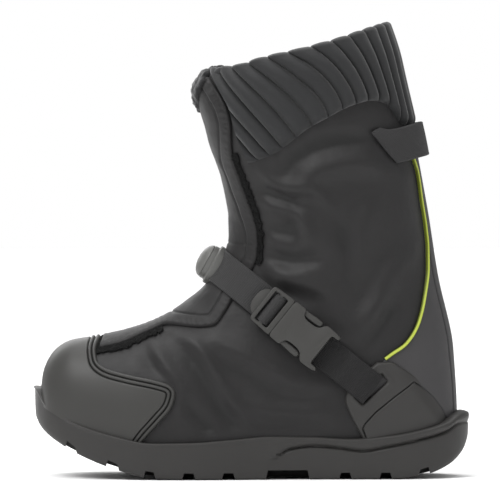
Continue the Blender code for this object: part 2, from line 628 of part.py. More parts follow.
def build_strap(parts, finish, tree, name, first, final):
    """Webbing over the last between two falls along the strap: below zero on the inner side, above on the outer."""
    along, _ = strap_axes()
    start = Vector((STRAP_START[0], 0.0, STRAP_START[1]))
    lines = [strap_route(tree, shift) for shift in (-WEBBING_WIDTH / 2, 0.0, WEBBING_WIDTH / 2)]
    middle = lines[1]
    sides = [index for index, point in enumerate(middle) if abs(point.y) > 20]
    falls = [(middle[index] - start).dot(along) * (-1 if middle[index].y > 0 else 1) for index in sides]
    ends = np.interp([first, final], falls, sides)
    length = sum((b - a).length for a, b in zip(middle, middle[1:])) * (ends[1] - ends[0]) / len(middle)
    places = np.linspace(ends[0], ends[1], max(6, int(length / STRAP_STEP)))
    rows = []
    for place in places:
        low = min(int(place), len(middle) - 2)
        share = place - low
        here = [line[low].lerp(line[low + 1], share) for line in lines]
        way = (middle[min(low + 3, len(middle) - 1)] - middle[max(low - 3, 0)]).normalized()
        across = (here[2] - here[0]).normalized()
        normal = across.cross(way).normalized()
        if normal.dot(here[1] - Vector((30.0, 0.0, 110.0))) < 0:
            normal = -normal
        fall = abs((here[1] - start).dot(along))
        offset = strap_offset(fall, abs(here[1].y) > 12)
        rows.append([here[k] + normal * (offset + lift) for k, lift in
                     ((0, 0.0), (1, 0.0), (2, 0.0), (2, WEBBING_THICKNESS), (1, WEBBING_THICKNESS),
                      (0, WEBBING_THICKNESS))])
    faces = grid_faces(len(rows), 6)
    faces += [tuple(range(6)), tuple((len(rows) - 1) * 6 + i for i in range(6))]
    return add_mesh(name, parts, [point for row in rows for point in row], faces, finish)


def plate(name, group, outline, low, high, frame, finish=None, bevel=0.0):
    """A flat outline with a thickness, placed by a frame."""
    count = len(outline)
    points = [frame @ Vector((x, y, z)) for z in (low, high) for x, y in outline]
    faces = [tuple(range(count)), tuple(range(count, 2 * count))]
    faces += [(i, (i + 1) % count, count + (i + 1) % count, count + i) for i in range(count)]
    made = add_mesh(name, group, points, faces, finish)
    if bevel:
        soften = made.modifiers.new("Soft edges", "BEVEL")
        soften.width = bevel * MM
        soften.segments = 2
        soften.limit_method = "ANGLE"
    return made


def rectangle(first, final, half):
    """Corners of a rectangle about the long axis."""
    return ((first, -half), (final, -half), (final, half), (first, half))


def mirrored(half):
    """A closed outline from its upper half, given from first to last along the long axis."""
    return list(half) + [(x, -y) for x, y in reversed(half)]


def buckle_frame(tree):
    """Frame on the outer side over the strap, with X along the strap and Z away from the shoe."""
    along, across = strap_axes()
    start = Vector((STRAP_START[0], 0.0, STRAP_START[1]))
    ends = [side_surface(tree, *(start + along * fall).xz, -1)[0] for fall in (PLUG_FROM + 6, SOCKET_TO - 6)]
    long_axis = (ends[1] - ends[0]).normalized()
    out = long_axis.cross(across).normalized()
    if out.y > 0:
        out = -out
    middle = side_surface(tree, *(start + along * BUCKLE_CENTRE).xz, -1)[0]
    sag = (middle - (ends[0] + ends[1]) / 2).dot(out)
    base = (ends[0] + ends[1]) / 2 + out * (max(sag, 0.0) + BUCKLE_LIFT)
    width_axis = out.cross(long_axis)
    return Matrix.Translation(base) @ Matrix((long_axis, width_axis, out)).transposed().to_4x4()


def build_buckle(parts, cutters, finish, tree):
    """The side-release buckle, fastened: a plug with its ladder and prongs, and the socket around them."""
    frame = buckle_frame(tree)
    plug = plate("buckle_plug", parts, mirrored(PLUG_HALF), 0.5, BUCKLE_THICKNESS - 1.0, frame, finish, 0.8)
    for number, (first, final) in enumerate(LADDER_SLOTS, start=1):
        slot = plate(f"ladder_slot_{number}", cutters, rectangle(first, final, WEBBING_WIDTH / 2 + 2 * FIT),
                     -BUCKLE_THICKNESS, 2 * BUCKLE_THICKNESS, frame)
        combine(plug, slot, "DIFFERENCE")

    socket = plate("buckle_socket", parts, mirrored(SOCKET_HALF), 0.5, BUCKLE_THICKNESS, frame, finish, 0.9)
    slot = plate("socket_slot", cutters, rectangle(*SOCKET_SLOT, WEBBING_WIDTH / 2 + 2 * FIT),
                 -BUCKLE_THICKNESS, 2 * BUCKLE_THICKNESS, frame)
    combine(socket, slot, "DIFFERENCE")
    return plug, socket


def build_guide(parts, finish, tree):
    """The moulded guide that holds the strap on the front of the instep: a domed oval on a base."""
    along, across = strap_axes()
    start = Vector((STRAP_START[0], 0.0, STRAP_START[1]))
    ends = []
    for shift in (-GUIDE_LENGTH / 2, GUIDE_LENGTH / 2):
        hit, _, _, _ = tree.ray_cast((start - along * 3 * FAR + across * shift) * MM, along)
        ends.append(hit / MM)
    up = (ends[1] - ends[0]).normalized()
    out = Vector((-up.z, 0.0, up.x))
    seat = (ends[0] + ends[1]) / 2 + out * (strap_offset(0.0, False) + WEBBING_THICKNESS)
    frame = Matrix.Translation(seat) @ Matrix((up, Vector((0.0, 1.0, 0.0)), out)).transposed().to_4x4()
    points = []
    for level, size in GUIDE_LEVELS:
        for step in range(GUIDE_SIDES):
            turn = 2 * math.pi * step / GUIDE_SIDES
            x = math.copysign(abs(math.cos(turn)) ** GUIDE_SQUARENESS, math.cos(turn)) * GUIDE_LENGTH / 2 * size
            y = math.copysign(abs(math.sin(turn)) ** GUIDE_SQUARENESS, math.sin(turn)) * GUIDE_WIDTH / 2 * size
            points.append(frame @ Vector((x, y, level)))
    faces = grid_faces(len(GUIDE_LEVELS), GUIDE_SIDES)
    for base in (0, (len(GUIDE_LEVELS) - 1) * GUIDE_SIDES):
        faces.append(tuple(range(base, base + GUIDE_SIDES)))
    return add_mesh("strap_guide", parts, points, faces, finish)


def main():
    """Build the overshoe."""
    for old in list(bpy.data.objects):
        bpy.data.objects.remove(old)
    parts = collection("winter_overshoe")
    cutters = collection("cutters")
    nylon = material("coated_nylon", (0.042, 0.041, 0.043), 0.62)
    padded = material("quilted_nylon", (0.038, 0.039, 0.041), 0.66)
    rubber = material("black_rubber", (0.062, 0.061, 0.061), 0.58)
    counter_skin = material("rubberised_fabric", (0.076, 0.074, 0.076), 0.6)
    bedding = material("felt", (0.05, 0.05, 0.052), 0.95)
    bright = material("bright_cord", (0.50, 0.62, 0.04), 0.5)
    webbing = material("webbing", (0.03, 0.029, 0.03), 0.8)
    moulded = material("moulded_plastic", (0.095, 0.094, 0.092), 0.42)
    grey = material("grey_plastic", (0.21, 0.21, 0.205), 0.45)

    guide = last_form("last_guide", cutters, 0.0)
    tree = BVHTree.FromPolygons([vertex.co for vertex in guide.data.vertices],
                                [face.vertices for face in guide.data.polygons])
    bpy.data.objects.remove(guide)

    build_upper(parts, cutters, nylon)
    build_insole(parts, cutters, bedding)
    build_sole(parts, cutters, rubber)
    build_toe_cap(parts, cutters, rubber)
    build_counter(parts, cutters, counter_skin, tree)
    build_flap(parts, cutters, nylon)
    build_wing(parts, cutters, rubber, tree, "outer", -FAR, -1.0)
    build_wing(parts, cutters, rubber, tree, "inner", 1.0, FAR)
    build_collar(parts, cutters, padded)
    build_pull_tab(parts, webbing)
    build_piping(parts, bright, tree, -1, "piping_outer")
    build_piping(parts, bright, tree, 1, "piping_inner")
    build_strap(parts, webbing, tree, "strap_front", -SLOT_AT, PLUG_FROM + 16)
    build_strap(parts, webbing, tree, "strap_tail", SOCKET_TO - 10, SLOT_AT)
    build_buckle(parts, cutters, moulded, tree)
    build_guide(parts, grey, tree)


main()
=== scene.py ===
"""Looks of a winter overshoe for the left foot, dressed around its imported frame.

Toe at -X, heel at +X, outer side with the buckle at -Y, standing on Z = 0. Sizes are in millimetres, and the meshes
are made in metres.
"""

import json
import logging
import math
from dataclasses import dataclass, field
from enum import Enum

import bmesh
import bpy
import numpy as np
from mathutils import Matrix, Vector, noise
from mathutils.bvhtree import BVHTree

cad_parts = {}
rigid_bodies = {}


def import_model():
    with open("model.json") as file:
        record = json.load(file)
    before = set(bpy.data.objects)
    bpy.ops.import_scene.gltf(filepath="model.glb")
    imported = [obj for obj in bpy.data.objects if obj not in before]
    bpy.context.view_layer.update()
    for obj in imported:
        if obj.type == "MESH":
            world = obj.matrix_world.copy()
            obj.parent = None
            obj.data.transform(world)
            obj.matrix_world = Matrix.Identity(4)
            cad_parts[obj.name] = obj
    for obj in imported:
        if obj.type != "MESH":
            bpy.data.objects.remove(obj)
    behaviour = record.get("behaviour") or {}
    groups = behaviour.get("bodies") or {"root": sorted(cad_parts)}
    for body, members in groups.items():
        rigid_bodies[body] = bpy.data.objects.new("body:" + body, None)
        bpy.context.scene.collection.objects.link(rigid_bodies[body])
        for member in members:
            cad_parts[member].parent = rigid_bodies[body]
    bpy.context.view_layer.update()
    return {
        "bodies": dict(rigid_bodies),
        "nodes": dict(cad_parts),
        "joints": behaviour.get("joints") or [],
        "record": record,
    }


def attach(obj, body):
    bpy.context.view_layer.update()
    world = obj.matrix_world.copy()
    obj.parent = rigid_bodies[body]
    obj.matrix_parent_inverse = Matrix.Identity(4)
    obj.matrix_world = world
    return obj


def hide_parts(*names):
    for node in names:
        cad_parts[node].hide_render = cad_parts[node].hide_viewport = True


for leftover in list(bpy.data.objects):
    bpy.data.objects.remove(leftover)
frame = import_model()

MM = 0.001
# Length of one band of a wave texture at a scale of 1.
BAND = 0.31
ROOT = "root"
LOG = logging.getLogger("overshoe")


class Side(Enum):
    """Sides of the shoe, by the sign of Y."""

    OUTER = -1
    INNER = 1


def smooth(known: np.ndarray, values: np.ndarray, wanted: np.ndarray) -> np.ndarray:
    """Read a smooth curve through known places and values, without overshoot.

    Args:
        known: rising places.
        values: one value, or a row of values, for each place.
        wanted: places to read.

    Returns:
        One row of values for each wanted place.
    """
    known = np.asarray(known, dtype=float)
    values = np.asarray(values, dtype=float).reshape(len(known), -1)
    wanted = np.atleast_1d(np.asarray(wanted, dtype=float))
    width = np.diff(known)[:, None]
    rise = np.diff(values, axis=0) / width
    slope = np.zeros_like(values)
    same = rise[:-1] * rise[1:] > 0
    before = np.where(same, rise[:-1], 1.0)
    after = np.where(same, rise[1:], 1.0)
    near = 2 * width[1:] + width[:-1]
    far = width[1:] + 2 * width[:-1]
    slope[1:-1] = np.where(same, (near + far) / (near / before + far / after), 0.0)
    slope[0] = rise[0]
    slope[-1] = rise[-1]
    cell = np.clip(np.searchsorted(known, wanted) - 1, 0, len(known) - 2)
    share = np.clip((wanted - known[cell]) / width[cell, 0], 0.0, 1.0)[:, None]
    start, end = values[cell], values[cell + 1]
    rising = share * share * (3 - 2 * share)
    leaving = share * (1 - share) ** 2 * slope[cell] * width[cell]
    arriving = share * share * (share - 1) * slope[cell + 1] * width[cell]
    return start + (end - start) * rising + leaving + arriving


def ease(values: np.ndarray, low: float, high: float) -> np.ndarray:
    """Rise smoothly from 0 at low to 1 at high."""
    share = np.clip((values - low) / (high - low), 0.0, 1.0)
    return share * share * (3 - 2 * share)


def rounded(line: tuple, steps: int = 4) -> np.ndarray:
    """A finer side view line through the same points.

    Args:
        line: points as X and Z.
        steps: how many parts each stretch is split into.

    Returns:
        The finer line's points.
    """
    line = np.asarray(line, dtype=float)
    spans = np.linalg.norm(np.diff(line, axis=0), axis=1)
    places = np.concatenate(([0.0], np.cumsum(spans)))
    wanted = np.concatenate([np.linspace(a, b, steps, endpoint=False) for a, b in zip(places, places[1:])])
    return smooth(places, line, np.append(wanted, places[-1]))


def height_on(line: tuple, x: np.ndarray) -> np.ndarray:
    """Heights of a side view line at the wanted X."""
    line = np.asarray(line, dtype=float)
    return smooth(line[:, 0], line[:, 1], np.ravel(x))[:, 0].reshape(np.shape(x))


def to_line(line: np.ndarray, x: np.ndarray, z: np.ndarray) -> tuple[np.ndarray, np.ndarray, np.ndarray]:
    """Measure points against a line in the side view.

    Args:
        line: points of the line.
        x: X of the points to measure.
        z: Z of the points to measure.

    Returns:
        Distance to the line, the sign of the side (+1 on its left), and the place along the line.
    """
    best = np.full(x.shape, np.inf)
    side = np.ones(x.shape)
    along = np.zeros(x.shape)
    gone = 0.0
    for start, end in zip(line[:-1], line[1:]):
        way = end - start
        length = max(float(np.hypot(*way)), 1e-9)
        share = np.clip(((x - start[0]) * way[0] + (z - start[1]) * way[1]) / length**2, 0.0, 1.0)
        away_x, away_z = x - start[0] - share * way[0], z - start[1] - share * way[1]
        distance = np.hypot(away_x, away_z)
        closer = distance < best
        best = np.where(closer, distance, best)
        side = np.where(closer, np.sign(way[0] * away_z - way[1] * away_x), side)
        along = np.where(closer, gone + share * length, along)
        gone += length
    return best, side, along


def tube_faces(rows: int, count: int) -> list:
    """Faces of a tube and of both its ends.

    Args:
        rows: number of rings.
        count: points in each ring.

    Returns:
        Corner numbers of each face.
    """
    faces = [(r * count + c, r * count + (c + 1) % count, (r + 1) * count + (c + 1) % count, (r + 1) * count + c)
             for r in range(rows - 1) for c in range(count)]
    return faces + [tuple(range(count)), tuple(range((rows - 1) * count, rows * count))]


def prism_faces(count: int) -> list:
    """Faces of a prism with this many corners at each end: both ends, then its sides."""
    faces = [tuple(range(count)), tuple(range(count, 2 * count))]
    return faces + [(i, (i + 1) % count, count + (i + 1) % count, count + i) for i in range(count)]


def ripple(x: np.ndarray, y: np.ndarray, z: np.ndarray, size: float) -> np.ndarray:
    """Smooth noise from -1 to 1 at each point, with bumps of about the size in millimetres."""
    return np.array([noise.noise(Vector(point) / size) for point in zip(x, y, z)])


def inside_outline(outline: np.ndarray, x: np.ndarray, z: np.ndarray) -> np.ndarray:
    """How far side view points lie inside a closed outline: positive inside, negative outside.

    Args:
        outline: points of the outline.
        x: X of the points to measure.
        z: Z of the points to measure.

    Returns:
        The distances.
    """
    closed = np.vstack([outline, outline[:1]])
    distance = to_line(closed, x, z)[0]
    within = np.zeros(x.shape, dtype=bool)
    for start, end in zip(closed[:-1], closed[1:]):
        spans = (start[1] <= z) != (end[1] <= z)
        rise = end[1] - start[1] if abs(end[1] - start[1]) > 1e-9 else 1e-9
        within ^= spans & (x < start[0] + (z - start[1]) * (end[0] - start[0]) / rise)
    return np.where(within, distance, -distance)


class Last:
    """The last: a fan of section planes from the toe to above the collar, one row for each plane.

    Seen from the side, a plane runs from its top point on the instep or shin to its foot point under the sole or at
    the back of the leg.
    """

    COLUMNS = ("top_x", "top_z", "foot_x", "foot_z", "middle_y", "half_width", "widest", "top_power", "foot_power")
    SECTIONS = (
        (-157.6, 69.0, -157.8, 59.0, 7.0, 6.0, 0.50, 2.2, 2.2),
        (-156.4, 77.5, -157.2, 46.0, 6.5, 18.5, 0.52, 2.3, 2.3),
        (-152.8, 87.0, -154.0, 34.0, 5.8, 29.0, 0.56, 2.4, 2.6),
        (-146.4, 95.3, -147.5, 23.0, 5.0, 36.5, 0.60, 2.5, 3.2),
        (-136.5, 100.8, -137.0, 14.0, 4.2, 42.5, 0.64, 2.6, 4.0),
        (-121.0, 103.6, -120.0, 7.0, 3.0, 47.5, 0.67, 2.5, 4.6),
        (-102.0, 107.0, -98.0, 2.0, 1.5, 51.0, 0.70, 2.4, 5.0),
        (-80.0, 113.6, -70.0, -1.0, -0.5, 53.0, 0.70, 2.3, 5.0),
        (-60.5, 122.8, -38.0, -1.0, -2.3, 52.5, 0.68, 2.2, 4.6),
        (-44.0, 134.0, -4.0, -1.0, -3.0, 50.0, 0.66, 2.1, 3.8),
        (-31.0, 146.5, 32.0, -1.0, -3.0, 48.5, 0.62, 2.1, 3.2),
        (-21.5, 159.5, 72.0, 0.0, -2.4, 47.5, 0.58, 2.1, 3.2),
        (-16.5, 172.0, 112.0, 5.0, -1.6, 47.0, 0.55, 2.1, 3.0),
        (-14.2, 184.0, 143.0, 19.0, -0.8, 47.5, 0.54, 2.1, 2.7),
        (-14.4, 197.0, 153.6, 50.0, -0.3, 48.5, 0.54, 2.1, 2.4),
        (-17.8, 216.0, 150.5, 98.0, 0.0, 50.0, 0.52, 2.1, 2.3),
        (-24.6, 240.0, 139.0, 152.0, 0.0, 52.0, 0.51, 2.1, 2.2),
        (-32.6, 264.0, 130.6, 206.0, 0.0, 53.5, 0.50, 2.1, 2.2),
        (-37.2, 285.0, 121.0, 257.0, 0.0, 54.0, 0.50, 2.1, 2.2),
        (-33.4, 303.0, 110.0, 305.0, 0.0, 53.0, 0.50, 2.1, 2.2),
        (-26.0, 322.0, 99.0, 356.0, 0.0, 51.0, 0.50, 2.1, 2.2),
    )
    TOP = len(SECTIONS) - 1.0
    STEP = 0.012

    def at(self, places: np.ndarray, angles: np.ndarray) -> np.ndarray:
        """Points of the last.

        Args:
            places: section places, from 0 at the toe to TOP.
            angles: angles around the section, with 0 at its top point and pi at its foot point, of the same shape.

        Returns:
            Points, with one more axis than the places.
        """
        places, angles = np.broadcast_arrays(np.asarray(places, float), np.asarray(angles, float))
        columns = smooth(range(len(self.SECTIONS)), self.SECTIONS, places.ravel())
        row = {name: columns[:, i].reshape(places.shape) for i, name in enumerate(self.COLUMNS)}
        cosine, sine = np.cos(angles), np.sin(angles)
        power = 2.0 / np.where(cosine >= 0, row["top_power"], row["foot_power"])
        reach = np.abs(cosine) ** power
        widest = row["widest"]
        along = np.where(cosine >= 0, widest * (1 - reach), widest + (1 - widest) * reach)
        x = row["top_x"] + (row["foot_x"] - row["top_x"]) * along
        z = row["top_z"] + (row["foot_z"] - row["top_z"]) * along
        y = row["middle_y"] + row["half_width"] * np.sign(sine) * np.abs(sine) ** power
        return np.stack([x, y, z], axis=-1)

    def normals(self, places: np.ndarray, angles: np.ndarray) -> np.ndarray:
        """Outward directions of unit length at the same arguments as at().

        Args:
            places: section places.
            angles: angles around the section.

        Returns:
            Directions, with one more axis than the places.
        """
        along = self.at(np.asarray(places) + self.STEP, angles) - self.at(np.asarray(places) - self.STEP, angles)
        around = self.at(places, np.asarray(angles) + self.STEP) - self.at(places, np.asarray(angles) - self.STEP)
        normal = np.cross(along, around)
        return normal / np.maximum(np.linalg.norm(normal, axis=-1, keepdims=True), 1e-9)

    def spread(self, low: float, high: float, angle: float, cell: float) -> np.ndarray:
        """Section places that lie evenly along the line at one angle.

        Args:
            low: first place.
            high: last place.
            angle: angle of the line.
            cell: distance between places.

        Returns:
            The places.
        """
        fine = np.linspace(low, high, 400)
        steps = np.linalg.norm(np.diff(self.at(fine, np.full(400, angle)), axis=0), axis=1)
        length = np.concatenate(([0.0], np.cumsum(steps)))
        return np.interp(np.linspace(0.0, length[-1], max(3, int(length[-1] / cell))), length, fine)

    def place_on(self, line: tuple, angles: np.ndarray) -> np.ndarray:
        """Section places where the leg, at each angle, meets a side view line.

        Args:
            line: points as X and Z.
            angles: angles around the section.

        Returns:
            The places.
        """
        low = np.full(len(angles), self.TOP - 6.0)
        high = np.full(len(angles), self.TOP)
        for _ in range(26):
            middle = (low + high) / 2
            points = self.at(middle, angles)
            under = points[:, 2] < height_on(line, points[:, 0])
            low, high = np.where(under, middle, low), np.where(under, high, middle)
        return low


LAST = Last()


class Patch:
    """Triangles over the last that can be split and trimmed along lines, and raised by a height at each corner."""

    MARGIN = 0.04

    def __init__(self, base: np.ndarray, normal: np.ndarray) -> None:
        """Start from a grid.

        Args:
            base: grid of points.
            normal: grid of outward directions.
        """
        rows, columns = base.shape[:2]
        index = np.arange(rows * columns).reshape(rows, columns)
        a, b, c, d = index[:-1, :-1], index[1:, :-1], index[1:, 1:], index[:-1, 1:]
        self.faces = np.concatenate([np.stack([a, b, c], -1).reshape(-1, 3), np.stack([a, c, d], -1).reshape(-1, 3)])
        self.base = base.reshape(-1, 3)
        self.normal = normal.reshape(-1, 3)
        self.fields: dict[str, np.ndarray] = {}

    @classmethod
    def over_last(cls, places: tuple, angles: tuple, cell: float) -> "Patch":
        """A patch over part of the last, with its points evenly spread.

        Args:
            places: first and last section place.
            angles: first and last angle.
            cell: distance between points.

        Returns:
            The patch.
        """
        rows = LAST.spread(places[0], places[1], -1.9, cell)
        fine = np.linspace(angles[0], angles[1], 721)
        points = LAST.at(rows[:, None], fine[None, :])
        steps = np.linalg.norm(np.diff(points, axis=1), axis=2)
        length = np.concatenate([np.zeros((len(rows), 1)), np.cumsum(steps, axis=1)], axis=1)
        count = max(3, int(length[:, -1].max() / cell))
        share = np.linspace(0.0, 1.0, count)
        around = np.stack([np.interp(share * line[-1], line, fine) for line in length])
        along = np.repeat(rows[:, None], count, axis=1)
        return cls(LAST.at(along, around), LAST.normals(along, around))

    @property
    def x(self) -> np.ndarray:
        """X of the corners."""
        return self.base[:, 0]

    @property
    def y(self) -> np.ndarray:
        """Y of the corners."""
        return self.base[:, 1]

    @property
    def z(self) -> np.ndarray:
        """Z of the corners."""
        return self.base[:, 2]

    def split(self, name: str, level: float) -> None:
        """Split the triangles that a field's level crosses.

        Args:
            name: the field.
            level: its value on the new edges.
        """
        value = self.fields[name] - level
        sign = np.sign(np.where(np.abs(value) < self.MARGIN, 0.0, value)).astype(int)
        signs = sign[self.faces]
        crossed = (signs.min(axis=1) < 0) & (signs.max(axis=1) > 0)
        if not crossed.any():
            return
        made: dict[tuple[int, int], int] = {}
        ends: list[tuple[int, int]] = []
        shares: list[float] = []
        new_faces = []
        count = len(self.base)
        for triangle in self.faces[crossed].tolist():
            above, below = [], []
            for one, two in zip(triangle, triangle[1:] + triangle[:1]):
                if sign[one] >= 0:
                    above.append(one)
                if sign[one] <= 0:
                    below.append(one)
                if sign[one] * sign[two] < 0:
                    key = (min(one, two), max(one, two))
                    if key not in made:
                        made[key] = count + len(ends)
                        ends.append(key)
                        shares.append(float(value[key[0]] / (value[key[0]] - value[key[1]])))
                    above.append(made[key])
                    below.append(made[key])
            for ring in (above, below):
                new_faces += [(ring[0], ring[i], ring[i + 1]) for i in range(1, len(ring) - 1)]
        self.faces = np.concatenate([self.faces[~crossed], np.array(new_faces, dtype=int)])
        if ends:
            first, second = np.array(ends).T
            share = np.array(shares)
            self.base = self._extended(self.base, first, second, share)
            self.normal = self._extended(self.normal, first, second, share)
            self.fields = {key: self._extended(data, first, second, share) for key, data in self.fields.items()}

    @staticmethod
    def _extended(data: np.ndarray, first: np.ndarray, second: np.ndarray, share: np.ndarray) -> np.ndarray:
        """Data with new rows between pairs of old ones."""
        share = share.reshape(-1, *[1] * (data.ndim - 1))
        return np.concatenate([data, data[first] * (1 - share) + data[second] * share])

    def keep_above(self, name: str, level: float = 0.0) -> None:
        """Trim the patch to where a field is above a level.

        Args:
            name: the field.
            level: the lowest value that stays.
        """
        self.split(name, level)
        middle = self.fields[name][self.faces].mean(axis=1)
        self.faces = self.faces[middle > level]
        self._drop_unused()

    def _drop_unused(self) -> None:
        """Forget corners that no triangle uses."""
        used, faces = np.unique(self.faces, return_inverse=True)
        self.faces = faces.reshape(-1, 3)
        self.base, self.normal = self.base[used], self.normal[used]
        self.fields = {key: data[used] for key, data in self.fields.items()}

    def steps_at(self, name: str, levels: tuple) -> None:
        """Split along several levels of a field."""
        for level in levels:
            self.split(name, level)

    def softened(self, values: np.ndarray, rounds: int) -> np.ndarray:
        """Values averaged with those of the neighbouring corners, a number of times.

        Args:
            values: one value for each corner.
            rounds: how many times.

        Returns:
            The averaged values.
        """
        edges = np.concatenate([self.faces[:, [0, 1]], self.faces[:, [1, 2]], self.faces[:, [2, 0]]])
        around = np.bincount(edges.ravel(), minlength=len(self.base))
        for _ in range(rounds):
            total = np.bincount(edges[:, 0], values[edges[:, 1]], len(self.base))
            total += np.bincount(edges[:, 1], values[edges[:, 0]], len(self.base))
            values = 0.5 * values + 0.5 * total / np.maximum(around, 1)
        return values

    def build(self, name: str, high: np.ndarray, low: float | np.ndarray, backed: bool = False) -> "Piece":
        """Make a piece whose skin is raised over the patch.

        Args:
            name: piece's name.
            high: height of the skin at each corner.
            low: height of its foot, where the edges end.
            backed: whether the underside is closed too.

        Returns:
            The piece, with shading attributes for the fields called shade, which carry painted shade.
        """
        count = len(self.base)
        outer = self.base + self.normal * np.broadcast_to(high, (count,))[:, None]
        inner = self.base + self.normal * np.broadcast_to(low, (count,))[:, None]
        edges = np.concatenate([self.faces[:, [0, 1]], self.faces[:, [1, 2]], self.faces[:, [2, 0]]])
        low_high = np.sort(edges, axis=1)
        _, first, total = np.unique(low_high, axis=0, return_index=True, return_counts=True)
        rim = edges[first[total == 1]]
        skirt = np.concatenate([np.stack([rim[:, 1], rim[:, 0], rim[:, 0] + count], -1),
                                np.stack([rim[:, 1], rim[:, 0] + count, rim[:, 1] + count], -1)])
        parts = [self.faces, skirt]
        if backed:
            parts.append(self.faces[:, ::-1] + count)
        faces = np.concatenate(parts)
        shade = self.fields.get("shade", np.zeros(count))
        piece = Piece(name, np.concatenate([outer, inner]), faces, np.concatenate([shade, shade]))
        piece.inner_from = len(self.faces) + len(skirt)
        return piece


class Piece:
    """A mesh that is dressed and put on the frame."""

    def __init__(self, name: str, points: np.ndarray, faces: list, shade: np.ndarray | None = None) -> None:
        """Make the mesh.

        Args:
            name: piece's name.
            points: corners in millimetres.
            faces: corner numbers of each face.
            shade: how much shade is painted at each corner, in grooves, seams, fold troughs and on the piping's sides,
                from -1 to 1.
        """
        points = np.asarray(points, dtype=float)
        faces = faces.tolist() if isinstance(faces, np.ndarray) else faces
        used = sorted({corner for face in faces for corner in face})
        places = {old: new for new, old in enumerate(used)}
        mesh = bpy.data.meshes.new(name)
        mesh.from_pydata((points[used] * MM).tolist(), [], [[places[c] for c in face] for face in faces])
        self.object = bpy.data.objects.new(name, mesh)
        self.inner_from = len(faces)
        bpy.context.scene.collection.objects.link(self.object)
        if shade is not None:
            layer = mesh.attributes.new("shade", "FLOAT", "POINT")
            layer.data.foreach_set("value", np.asarray(shade, dtype=np.float32)[used])

    def weld(self, distance: float = 0.01) -> "Piece":
        """Join corners that lie on each other, such as along the seam of a closed grid.

        Args:
            distance: how far apart they may lie.

        Returns:
            The piece.
        """
        shape = bmesh.new()
        shape.from_mesh(self.object.data)
        bmesh.ops.remove_doubles(shape, verts=shape.verts, dist=distance * MM)
        shape.to_mesh(self.object.data)
        shape.free()
        return self

    def face_outwards(self) -> "Piece":
        """Turn the faces of a closed mesh outwards.

        Returns:
            The piece.
        """
        shape = bmesh.new()
        shape.from_mesh(self.object.data)
        bmesh.ops.recalc_face_normals(shape, faces=shape.faces)
        shape.to_mesh(self.object.data)
        shape.free()
        return self

    def cut(self, cutter: "Piece", operation: str = "DIFFERENCE") -> "Piece":
        """Cut this mesh with another one, which is used up.

        Args:
            cutter: the other piece.
            operation: how the boolean joins them.

        Returns:
            The piece.
        """
        step = self.object.modifiers.new("Cut", "BOOLEAN")
        step.operation = operation
        step.solver = "EXACT"
        step.object = cutter.object
        return self.settle(cutter)

    def settle(self, *used: "Piece") -> "Piece":
        """Apply the modifiers and remove the pieces that they used.

        Args:
            used: pieces that the modifiers used.

        Returns:
            The piece.
        """
        graph = bpy.context.evaluated_depsgraph_get()
        done = bpy.data.meshes.new_from_object(self.object.evaluated_get(graph))
        old = self.object.data
        self.object.modifiers.clear()
        self.object.data = done
        bpy.data.meshes.remove(old)
        for piece in used:
            bpy.data.objects.remove(piece.object)
        return self

    def bevel(self, width: float, segments: int = 2, angle: float = 35.0) -> "Piece":
        """Round the edges that are sharper than an angle.

        Args:
            width: how far the rounding reaches.
            segments: faces across it.
            angle: the angle in degrees.

        Returns:
            The piece.
        """
        step = self.object.modifiers.new("Round", "BEVEL")
        step.width = width * MM
        step.segments = segments
        step.limit_method = "ANGLE"
        step.angle_limit = math.radians(angle)
        step.harden_normals = False
        return self.settle()

    def uv(self, across: np.ndarray, along: np.ndarray) -> "Piece":
        """Give each corner a place across and along the band, in metres.

        Args:
            across: places across in millimetres.
            along: places along in millimetres.

        Returns:
            The piece.
        """
        layer = self.object.data.uv_layers.new(name="band")
        corners = np.zeros(len(self.object.data.loops), dtype=np.int32)
        self.object.data.loops.foreach_get("vertex_index", corners)
        places = np.stack([across, along], axis=-1)[corners] * MM
        layer.data.foreach_set("uv", places.astype(np.float32).ravel())
        return self

    def place(self, frame: Matrix) -> "Piece":
        """Move the mesh into a frame that is given in millimetres."""
        self.object.data.transform(Matrix.Translation(frame.translation * MM) @ frame.to_3x3().to_4x4())
        return self

    def dress(self, slot: str, *finishes: bpy.types.Material, sharp: float = 40.0) -> "Piece":
        """Give the piece its materials and smooth shading.

        Args:
            slot: record's material slot, which is not used.
            finishes: materials, where the second one is for the underside.
            sharp: edges sharper than this angle stay crisp.

        Returns:
            The piece.
        """
        mesh = self.object.data
        mesh.materials.clear()
        for finish in finishes:
            mesh.materials.append(finish)
        if len(finishes) > 1:
            index = np.zeros(len(mesh.polygons), dtype=np.int32)
            index[self.inner_from:] = 1
            mesh.polygons.foreach_set("material_index", index)
        mesh.shade_smooth()
        mesh.set_sharp_from_angle(angle=math.radians(sharp))
        return self

    def mount(self, *nodes: str) -> "Piece":
        """Ride on the frame, and stand for the nodes that are named.

        Args:
            nodes: nodes that the piece replaces.

        Returns:
            The piece.
        """
        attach(self.object, ROOT)
        if nodes:
            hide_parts(*nodes)
        LOG.info("%s: %d faces", self.object.name, len(self.object.data.polygons))
        return self


def linear(colour: str) -> tuple[float, float, float, float]:
    """Turn an sRGB hex colour to linear light."""
    parts = [int(colour[i:i + 2], 16) / 255 for i in (1, 3, 5)]
    return (*[p / 12.92 if p <= 0.04045 else ((p + 0.055) / 1.055) ** 2.4 for p in parts], 1.0)


def add_node(tree: bpy.types.NodeTree, kind: str, settings: dict, links: dict | None = None) -> bpy.types.Node:
    """Add a node with its settings and links.

    Args:
        tree: node tree that takes it.
        kind: the node type's name after ShaderNode.
        settings: values by property name, input name or input number.
        links: sockets that feed the inputs, by input name or number.

    Returns:
        The node.
    """
    node = tree.nodes.new("ShaderNode" + kind)
    for name, value in settings.items():
        if isinstance(name, int) or name in node.inputs:
            node.inputs[name].default_value = value
        else:
            setattr(node, name, value)
    for name, socket in (links or {}).items():
        tree.links.new(socket, node.inputs[name])
    return node


